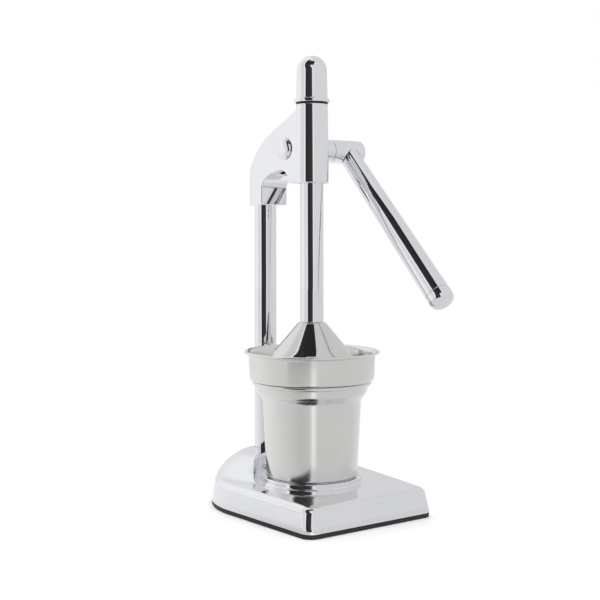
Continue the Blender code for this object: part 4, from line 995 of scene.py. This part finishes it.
@dataclass
class Lever:
    """The lever: pivot cap, hub, tapered tube arm and rounded end cap."""

    arm_angle: float = math.radians(45.2)
    arm_start: float = 7.3
    arm_length: float = 184.0
    arm_near: float = 9.7
    arm_far: float = 11.8
    arm_wall: float = 1.5
    arm_plane: float = 60.3
    cap_length: float = 12.0
    cap_radius: float = 12.0
    cap_round: float = 5.5
    spigot: float = 12.0
    shaft_bore: float = 5.3
    hub_wall: float = 4.0
    hub_round: float = 3.0
    socket_top: float = 30.0
    gap: float = 0.3
    pivot: Array = field(default_factory=lambda: np.zeros(3))

    def arm_axis(self) -> Array:
        """Turning matrix whose third column points down the arm, to the front."""
        c, s = math.cos(self.arm_angle), math.sin(self.arm_angle)
        return np.array([(1.0, 0.0, 0.0), (0.0, s, -c), (0.0, -c, -s)]) * np.array([-1.0, 1.0, 1.0])

    def arm_foot(self) -> Array:
        """The point of the pivot's axis that the arm's axis goes through."""
        return self.pivot + np.array([self.arm_plane, 0.0, 0.0])

    def build_hub(self) -> None:
        """The hub: bored from the left for the shaft, rounded at its right, cut for the arm."""
        low, high = box_mm("lever_hub")
        radius, start, end = (high[2] - low[2]) / 2, low[0], high[0]
        bore_end = end - self.hub_wall
        hub = turned("lever_hub_looks", rounded_profile([
            (0.0, bore_end, 0.0), (self.shaft_bore, bore_end, 0.0), (self.shaft_bore, start, 0.4),
            (radius, start, 0.5), (radius, end, self.hub_round), (0.0, end, 0.0)], steps=8),
            (0.0, *self.pivot[1:]), Axis.RIGHT)
        socket = plug("arm_socket", self.arm_near + 2 * self.gap, self.arm_start - self.gap,
                      self.socket_top, self.arm_foot(), self.arm_axis(), 96)
        shape_with(hub, cuts=[socket])
        dress(hub, CHROME, "lever", "lever_hub")

    def build_arm(self) -> None:
        """The arm: a tube that widens towards its far end, with eased ends."""
        end, wall = self.arm_start + self.arm_length, self.arm_wall
        arm = rounded_profile([(self.arm_near - wall, self.arm_start, 0.3),
                               (self.arm_near, self.arm_start, 0.4), (self.arm_far, end, 0.35),
                               (self.arm_far - wall, end, 0.3)], closed=True)
        dress(turned("lever_arm_looks", arm, self.arm_foot(), self.arm_axis()),
              CHROME, "lever", "lever_arm")

    def build_end_cap(self) -> None:
        """The end cap: a rounded knob on a spigot that follows the tube's taper."""
        low = self.arm_start + self.arm_length + self.gap
        high, spigot_low = low + self.cap_length, low - self.spigot
        spigot = self.arm_far - self.arm_wall - self.gap
        taper = (self.arm_far - self.arm_near) / self.arm_length * self.spigot
        cap = rounded_profile([(0.0, spigot_low, 0.0), (spigot - taper, spigot_low, 0.5),
                               (spigot, low, 0.0), (self.cap_radius, low, 0.45),
                               (self.cap_radius, high, self.cap_round), (0.0, high, 0.0)], steps=12)
        dress(turned("handle_end_cap_looks", cap, self.arm_foot(), self.arm_axis()),
              CHROME, "lever", "handle_end_cap")

    def build_pivot_cap(self) -> None:
        """The domed cap at the pivot's left end, bored for the shaft over 0.6 of its length."""
        low, high = box_mm("pivot_cap")
        radius, start, end = (high[2] - low[2]) / 2, low[0], high[0]
        length = end - start
        dome = bezier((radius, end), (radius, end - 0.75 * length), (0.55 * radius, start),
                      (0.0, start), 24)
        bore_end = end - 0.6 * length
        bore = [(0.0, bore_end), (self.shaft_bore, bore_end), (self.shaft_bore, end)]
        cap = turned("pivot_cap_looks", np.concatenate([bore, dome]), (0.0, *self.pivot[1:]),
                     Axis.RIGHT, 96)
        dress(cap, CHROME, "lever", "pivot_cap")

    def build(self) -> None:
        """All four pieces of the lever."""
        self.pivot = pivot_mm()
        self.build_hub()
        self.build_arm()
        self.build_end_cap()
        self.build_pivot_cap()


# ---------------------------------------------------------------- cup and strainer

@dataclass
class Cup:
    """The spun juice cup: foot, tapered body, shoulder, neck and rolled rim."""

    wall: float = 0.9
    neck_radius: float = 53.3
    top_radius: float = 47.0
    foot_radius: float = 43.3
    foot_round: float = 4.0
    neck_drop: float = 8.0
    shoulder_drop: float = 20.0
    shoulder_pull: tuple[float, float] = (1.2, 5.5)
    neck_pull: tuple[float, float] = (0.5, 4.5)
    bead_start: tuple[float, float] = (0.1, 4.4)
    bead: float = 2.0

    def build(self) -> None:
        """The cup's outer line up to the rim's bead, and back down the inside."""
        low, high = box_mm("juice_cup")
        rim = (high[0] - low[0]) / 2
        neck = np.array([self.neck_radius, high[2] - self.neck_drop])
        shoulder = np.array([self.top_radius, high[2] - self.shoulder_drop])
        body = rounded_profile([(0.0, low[2], 0.0), (self.foot_radius, low[2], self.foot_round),
                                (*shoulder, 0.0)])
        rise = body[-2] + (shoulder - body[-2]) * np.linspace(0.0, 1.0, 16)[1:, None]
        swell = bezier(shoulder, shoulder + self.shoulder_pull, neck - self.neck_pull, neck, 14)
        top = (self.neck_radius + self.bead_start[0], high[2] - self.bead_start[1])
        outer = np.concatenate([body[1:-1], rise[:-1], swell, [top]])
        centre = (rim - self.bead, high[2] - self.bead)
        bead = arc_line(centre, self.bead, -115.0, 165.0, 20)
        inner = beside(outer, self.wall)[::-1]
        profile = np.concatenate([[(0.0, low[2])], outer, bead, inner, [(0.0, low[2] + self.wall)]])
        dress(turned("juice_cup_looks", profile, columns=192), SATIN_STEEL, "cup", "juice_cup")


@dataclass
class Strainer:
    """The strainer bowl with its drain slots, and the ribbed reamer."""

    wall: float = 1.0
    top_radius: float = 60.3
    foot_radius: float = 59.3
    ledge_rise: float = 5.5
    spigot: float = 51.4
    slot_count: int = 24
    slot_half: float = 1.1
    slot_start: float = 38.1
    slot_end: float = 46.3
    flange: float = 34.0
    cone_radius: float = 28.0
    ribs: int = 10
    rib_depth: float = 0.09
    width_power: float = 0.8
    height_power: float = 1.2
    tip_share: float = 0.985
    tip_radius: float = 0.05
    columns: int = 240

    def build_bowl(self) -> None:
        """The bowl: spigot in the cup's neck, ledge, steep side and a lip that turns out."""
        low, high = box_mm("strainer_bowl")
        rim, top = (high[0] - low[0]) / 2, high[2]
        wall, foot, ledge = self.wall, low[2], low[2] + self.ledge_rise
        outer = rounded_profile([(0.0, foot, 0.0), (self.spigot, foot, 1.6),
                                 (self.spigot, ledge, 0.8), (self.foot_radius, ledge, 2.4),
                                 (self.top_radius, top - 3.6, 1.2), (rim - 0.9, top - 2.3, 0.0)])
        lip = arc_line((rim - 0.75, top - 1.5), 0.75, -100.0, 90.0, 8)
        roll = [(rim - 1.6, top - 0.15), (rim - 2.6, top - 0.7)]
        inner = rounded_profile([(self.top_radius - 0.6, top - 2.7, 0.8),
                                 (self.top_radius - wall, top - 4.0, 0.0),
                                 (self.foot_radius - wall, ledge + wall, 1.6),
                                 (self.spigot - wall, ledge + wall, 1.4),
                                 (self.spigot - wall, foot + wall, 0.7), (0.0, foot + wall, 0.0)])
        bowl = turned("strainer_bowl_looks", np.concatenate([outer, lip, roll, inner]), columns=192)
        round_end = arc_line((self.slot_end, 0.0), self.slot_half, -90.0, 90.0, 8)
        round_start = arc_line((self.slot_start, 0.0), self.slot_half, 90.0, 270.0, 8)
        turn = 2 * math.pi * np.arange(self.slot_count) / self.slot_count
        c, s, nought = np.cos(turn), np.sin(turn), np.zeros_like(turn)
        turns = np.stack([c, -s, nought, s, c, nought, nought, nought, nought + 1], axis=1)
        slots = drawn_out("drain_slots", np.concatenate([round_end, round_start]), foot - 2.0,
                          foot + 3.0, copies=turns.reshape(-1, 3, 3))
        shape_with(bowl, cuts=[slots])
        dress(bowl, SATIN_STEEL, "strainer", "strainer_bowl")

    def reamer_rings(self, low: float, height: float, inward: float, rows: int) -> Array:
        """Rings of the reamer's skin.

        The radius is R cos^0.8(t) (1 + depth sin(2t) cos(ribs x a)) and the height H sin^1.2(t)
        for t from 0 to a quarter turn, so that ribs swell in the middle and die out at both ends.

        Args:
            low: height of the flange's side.
            height: height of the cone's tip over it.
            inward: how far the skin lies inside the outer one.
            rows: rings over the cone.

        Returns:
            Rings x columns x 3.
        """
        angle = np.linspace(0.0, 2 * math.pi, self.columns, endpoint=False)
        t = np.linspace(0.0, self.tip_share, rows)[:, None] * math.pi / 2
        wave = 1 + self.rib_depth * np.sin(2 * t) * np.cos(self.ribs * angle)
        radius = (self.cone_radius * np.cos(t) ** self.width_power) * wave - inward
        z = low + (height - inward) * np.sin(t) ** self.height_power + 0 * angle
        flange = np.linspace(self.flange, self.cone_radius + 0.6, 4)[:, None] + 0 * angle
        radius = np.maximum(np.concatenate([flange - inward, radius]), self.tip_radius)
        z = np.concatenate([np.full_like(flange, low), z])
        return np.stack([radius * np.cos(angle), radius * np.sin(angle), z], axis=-1)

    def build_reamer(self) -> None:
        """The pressed reamer: a flange and a ribbed cone, one sheet thick."""
        low, high = box_mm("reamer_cone")
        height = high[2] - low[2] - self.wall
        outer = self.reamer_rings(low[2] + self.wall, height, 0.0, 48)
        inner = self.reamer_rings(low[2], height, self.wall, 32)[::-1]
        inner[-4:, :, :2] *= self.flange / (self.flange - self.wall)
        cone = surface("reamer_cone_looks", np.concatenate([inner, outer]), False,
                       on_axis(high[2] - self.wall), on_axis(high[2]))
        dress(cone, BUFFED_STEEL, "strainer", "reamer_cone")

    def build(self) -> None:
        """The bowl and the reamer."""
        self.build_bowl()
        self.build_reamer()


# ---------------------------------------------------------------- nodes kept from the frame

@dataclass
class KeptNodes:
    """Hidden hardware whose shape stays as packed and only gets its finish."""

    finishes: dict[str, Finish] = field(default_factory=lambda: {
        "upper_guide": NYLON, "lower_guide": NYLON, "pinion_bush": BRONZE, "thrust_washer": BRONZE})

    def build(self) -> None:
        """Give each shown node its finish by the start of its name: zinc-plated steel if none."""
        for name, node in frame["nodes"].items():
            if node.hide_render:
                continue
            finish = next((f for key, f in self.finishes.items() if name.startswith(key)),
                          BRIGHT_STEEL)
            for slot in node.material_slots:
                slot.material = finish.material()
            LOG.info("%s: kept, %s", name, finish.name)


# ---------------------------------------------------------------- studio

@dataclass
class Studio:
    """A pale floor, soft light, a light tent with one dark opening, and the camera."""

    camera_distance: float = 1.0504
    camera_azimuth: float = math.radians(35.166)
    camera_height: float = 0.2639
    camera_tilt: float = math.radians(0.464)
    camera_offset: float = 0.0114
    lens: float = 66.0
    shift: float = -0.1
    floor_radius: float = 4.0
    tent_lean: float = 0.7
    tent_strength: float = 2.5
    tent_top: tuple[float, float, float, float] = (0.32, 0.32, 0.325, 1.0)
    tent_top_from: float = 0.97
    # Strength of the floor's painted glow, which only reflections show.
    painted_glow_strength: float = 2.4
    floor_grey: float = 0.93
    floor_lift: float = 0.10
    # Metres from the middle over which the painted glow of the table's light gives way to the
    # tent's in reflections, and over which the floor turns white.
    table_edge: tuple[float, float] = (0.75, 1.15)
    white_from: tuple[float, float] = (0.20, 0.50)
    # The card's near and far corners, towards the camera and to its left, and its height.
    card_corners: tuple[tuple[float, float], ...] = (
        (105.0, -105.0), (420.0, -105.0), (420.0, 200.0), (105.0, 200.0))
    card_height: float = 750.0
    # Name, place, width and power of each lamp.
    lamps: tuple[tuple[str, tuple[float, float, float], float, float], ...] = (
        ("top_lamp", (-0.3, -0.2, 1.8), 1.6, 14.0), ("back_lamp", (0.8, 1.2, 1.3), 1.0, 5.0))
    # Degrees round from the camera's side and brightness: a dark opening on its left, with a
    # lighter strip on each side of it.
    tent_stops: tuple[tuple[float, float], ...] = (
        (-180, 0.29), (-125, 0.38), (-95, 0.39), (-75, 0.31), (-52, 0.31), (-50, 0.42), (-45, 0.42),
        (-42, 0.012), (3, 0.016), (8, 0.06), (11, 0.38), (14, 0.40), (18, 0.30), (90, 0.30),
        (180, 0.29))
    # The same for the near part of the table, as polished steel mirrors it: a painted glow of the
    # studio's light on the table, darker on the camera's left, with a bright streak at the camera's
    # side.
    table_glow_stops: tuple[tuple[float, float], ...] = (
        (-180, 0.37), (-110, 0.38), (-50, 0.30), (-25, 0.26), (-4, 0.28), (0, 0.44), (5, 0.44),
        (10, 0.29), (100, 0.30), (150, 0.36), (180, 0.42))

    def around(self, tree: bpy.types.NodeTree, direction: bpy.types.NodeSocket,
               stops: Sequence[tuple[float, float]], lean: float) -> bpy.types.NodeSocket:
        """A grey value by the angle round from the camera's side, positive to its right.

        Args:
            tree: the node tree.
            direction: socket with a direction or a place on the floor.
            stops: pairs of angle in degrees and grey value.
            lean: radians by which the pattern moves to the left at a height of one.

        Returns:
            Socket with the grey value.
        """
        turned_round = add_node(tree, "Mapping",
                                {"Rotation": (0.0, 0.0, math.pi / 2 + self.camera_azimuth)},
                                {"Vector": direction})
        parts = add_node(tree, "SeparateXYZ", None, {0: turned_round})
        angle = add_node(tree, "Math", {"operation": "ARCTAN2"},
                         {0: parts.outputs[1], 1: parts})
        leaning = add_node(tree, "Math", {"operation": "MULTIPLY_ADD", 1: lean},
                           {0: parts.outputs[2], 2: angle})
        share = add_node(tree, "MapRange", {"From Min": -math.pi, "From Max": math.pi},
                         {"Value": leaning})
        ramp = add_node(tree, "ValToRGB", None, {0: share})
        set_ramp(ramp, [((degrees + 180) / 360, grey) for degrees, grey in stops])
        return ramp.outputs[0]

    def build_world(self) -> None:
        """The tent: white behind the object, and a grey surround for light and reflections."""
        world = bpy.data.worlds.new("light_tent")
        bpy.context.scene.world = world
        world.use_nodes = True
        tree = world.node_tree
        tree.nodes.clear()
        way = add_node(tree, "TexCoord").outputs["Generated"]
        around = self.around(tree, way, self.tent_stops, self.tent_lean)
        height = add_node(tree, "SeparateXYZ", None, {0: way})
        top = add_node(tree, "MapRange", {"From Min": self.tent_top_from, "From Max": 1.0},
                       {"Value": height.outputs[2]})
        tent = add_node(tree, "Mix", {"data_type": "RGBA", 7: self.tent_top},
                        {0: top, 6: around})
        lit = add_node(tree, "Background", {"Strength": self.tent_strength},
                       {"Color": tent.outputs[2]})
        plain = add_node(tree, "Background", {"Color": WHITE})
        rays = add_node(tree, "LightPath")
        both = add_node(tree, "MixShader", None,
                        {0: rays.outputs["Is Camera Ray"], 1: lit, 2: plain})
        add_node(tree, "OutputWorld", None, {0: both})

    def build_floor(self) -> None:
        """A pale round floor; in reflections it glows with painted light instead, which carries the
        tent's light on beyond the object.
        """
        floor = plug("floor", self.floor_radius / MM, -2.0, 0.0, columns=96)
        material = bpy.data.materials.new("pale_floor")
        material.use_nodes = True
        tree = material.node_tree
        tree.nodes.clear()
        place = add_node(tree, "TexCoord").outputs["Object"]
        length = add_node(tree, "VectorMath", {"operation": "LENGTH"}, {0: place})
        near, tent = self.table_edge
        far = add_node(tree, "MapRange", {"From Min": near, "From Max": tent},
                       {"Value": length.outputs["Value"]})
        carried = add_node(tree, "Mix", {"data_type": "RGBA"},
                           {0: far, 6: self.around(tree, place, self.table_glow_stops, 0.0),
                            7: self.around(tree, place, self.tent_stops, 0.0)})
        # Painted reflection: to glossy rays the floor is an emission, with the studio's light
        # painted on it.
        painted_reflection_glow = add_node(tree, "Emission", {"Strength": self.painted_glow_strength},
                            {"Color": carried.outputs[2]})
        seen = add_node(tree, "BsdfDiffuse", {"Color": (*[self.floor_grey] * 3, 1.0)})
        lift = add_node(tree, "Emission", {"Color": WHITE, "Strength": self.floor_lift})
        pale = add_node(tree, "AddShader", None, {0: seen, 1: lift})
        white = add_node(tree, "Emission", {"Color": WHITE})
        pale_to, white_at = self.white_from
        away = add_node(tree, "MapRange", {"From Min": pale_to, "From Max": white_at},
                        {"Value": length.outputs["Value"]})
        sweep = add_node(tree, "MixShader", None,
                         {0: away, 1: pale, 2: white})
        rays = add_node(tree, "LightPath")
        both = add_node(tree, "MixShader", None,
                        {0: rays.outputs["Is Glossy Ray"], 1: sweep,
                         2: painted_reflection_glow})
        add_node(tree, "OutputMaterial", None, {0: both})
        floor.data.materials.append(material)

    def build_card(self) -> None:
        """A black card over the press, which only its polished metal mirrors."""
        toward = np.array([-math.sin(self.camera_azimuth), -math.cos(self.camera_azimuth)])
        left = np.array([toward[1], -toward[0]])
        plan = np.array(self.card_corners) @ np.stack([toward, left])
        card = drawn_out("black_card", plan, self.card_height, self.card_height + 2.0)
        material = bpy.data.materials.new("black_card")
        material.use_nodes = True
        shader = material.node_tree.nodes["Principled BSDF"]
        shader.inputs["Base Color"].default_value = linear_colour("1E1E1E")
        shader.inputs["Roughness"].default_value = 0.9
        card.data.materials.append(material)
        card.visible_camera = card.visible_shadow = card.visible_diffuse = False

    @staticmethod
    def build_lamp(name: str, place: Sequence[float], size: float, power: float) -> None:
        """A soft lamp that aims at the press and doesn't show in reflections.

        Args:
            name: the lamp's name.
            place: where it hangs, in metres.
            size: width of its disc, in metres.
            power: its power in watts.
        """
        data = bpy.data.lights.new(name, "AREA")
        data.shape, data.size, data.energy = "DISK", size, power
        lamp = bpy.data.objects.new(name, data)
        lamp.location = place
        aim = Vector((0.0, 0.0, 0.1)) - lamp.location
        lamp.rotation_euler = aim.to_track_quat("-Z", "Y").to_euler()
        lamp.visible_glossy = lamp.visible_camera = False
        bpy.context.scene.collection.objects.link(lamp)

    def build_camera(self) -> None:
        """The camera, a little above the press's middle and left of its front."""
        data = bpy.data.cameras.new("camera")
        data.lens, data.shift_y = self.lens, self.shift
        data.clip_start, data.clip_end = 0.02, 50.0
        camera = bpy.data.objects.new("camera", data)
        sine, cosine = math.sin(self.camera_azimuth), math.cos(self.camera_azimuth)
        forward = np.array([sine, cosine, 0.0])
        right = np.array([cosine, -sine, 0.0])
        place = -self.camera_distance * forward - self.camera_offset * right
        camera.location = (place[0], place[1], self.camera_height)
        camera.rotation_euler = (math.pi / 2 - self.camera_tilt, 0.0, -self.camera_azimuth)
        bpy.context.scene.collection.objects.link(camera)
        bpy.context.scene.camera = camera

    def build(self) -> None:
        """Floor, tent, lamps and camera."""
        self.build_world()
        self.build_floor()
        self.build_card()
        for lamp in self.lamps:
            self.build_lamp(*lamp)
        self.build_camera()
        bpy.context.scene.view_settings.view_transform = "Standard"


def main() -> None:
    """Build the press and its studio, in order."""
    logging.basicConfig(level=logging.INFO, format="%(message)s")
    for part in (Base(), Column(), Head(), Plunger(), Lever(), Cup(), Strainer(), KeptNodes(),
                 Studio()):
        LOG.info("%s", type(part).__name__)
        part.build()


if __name__ == "__main__":
    main()
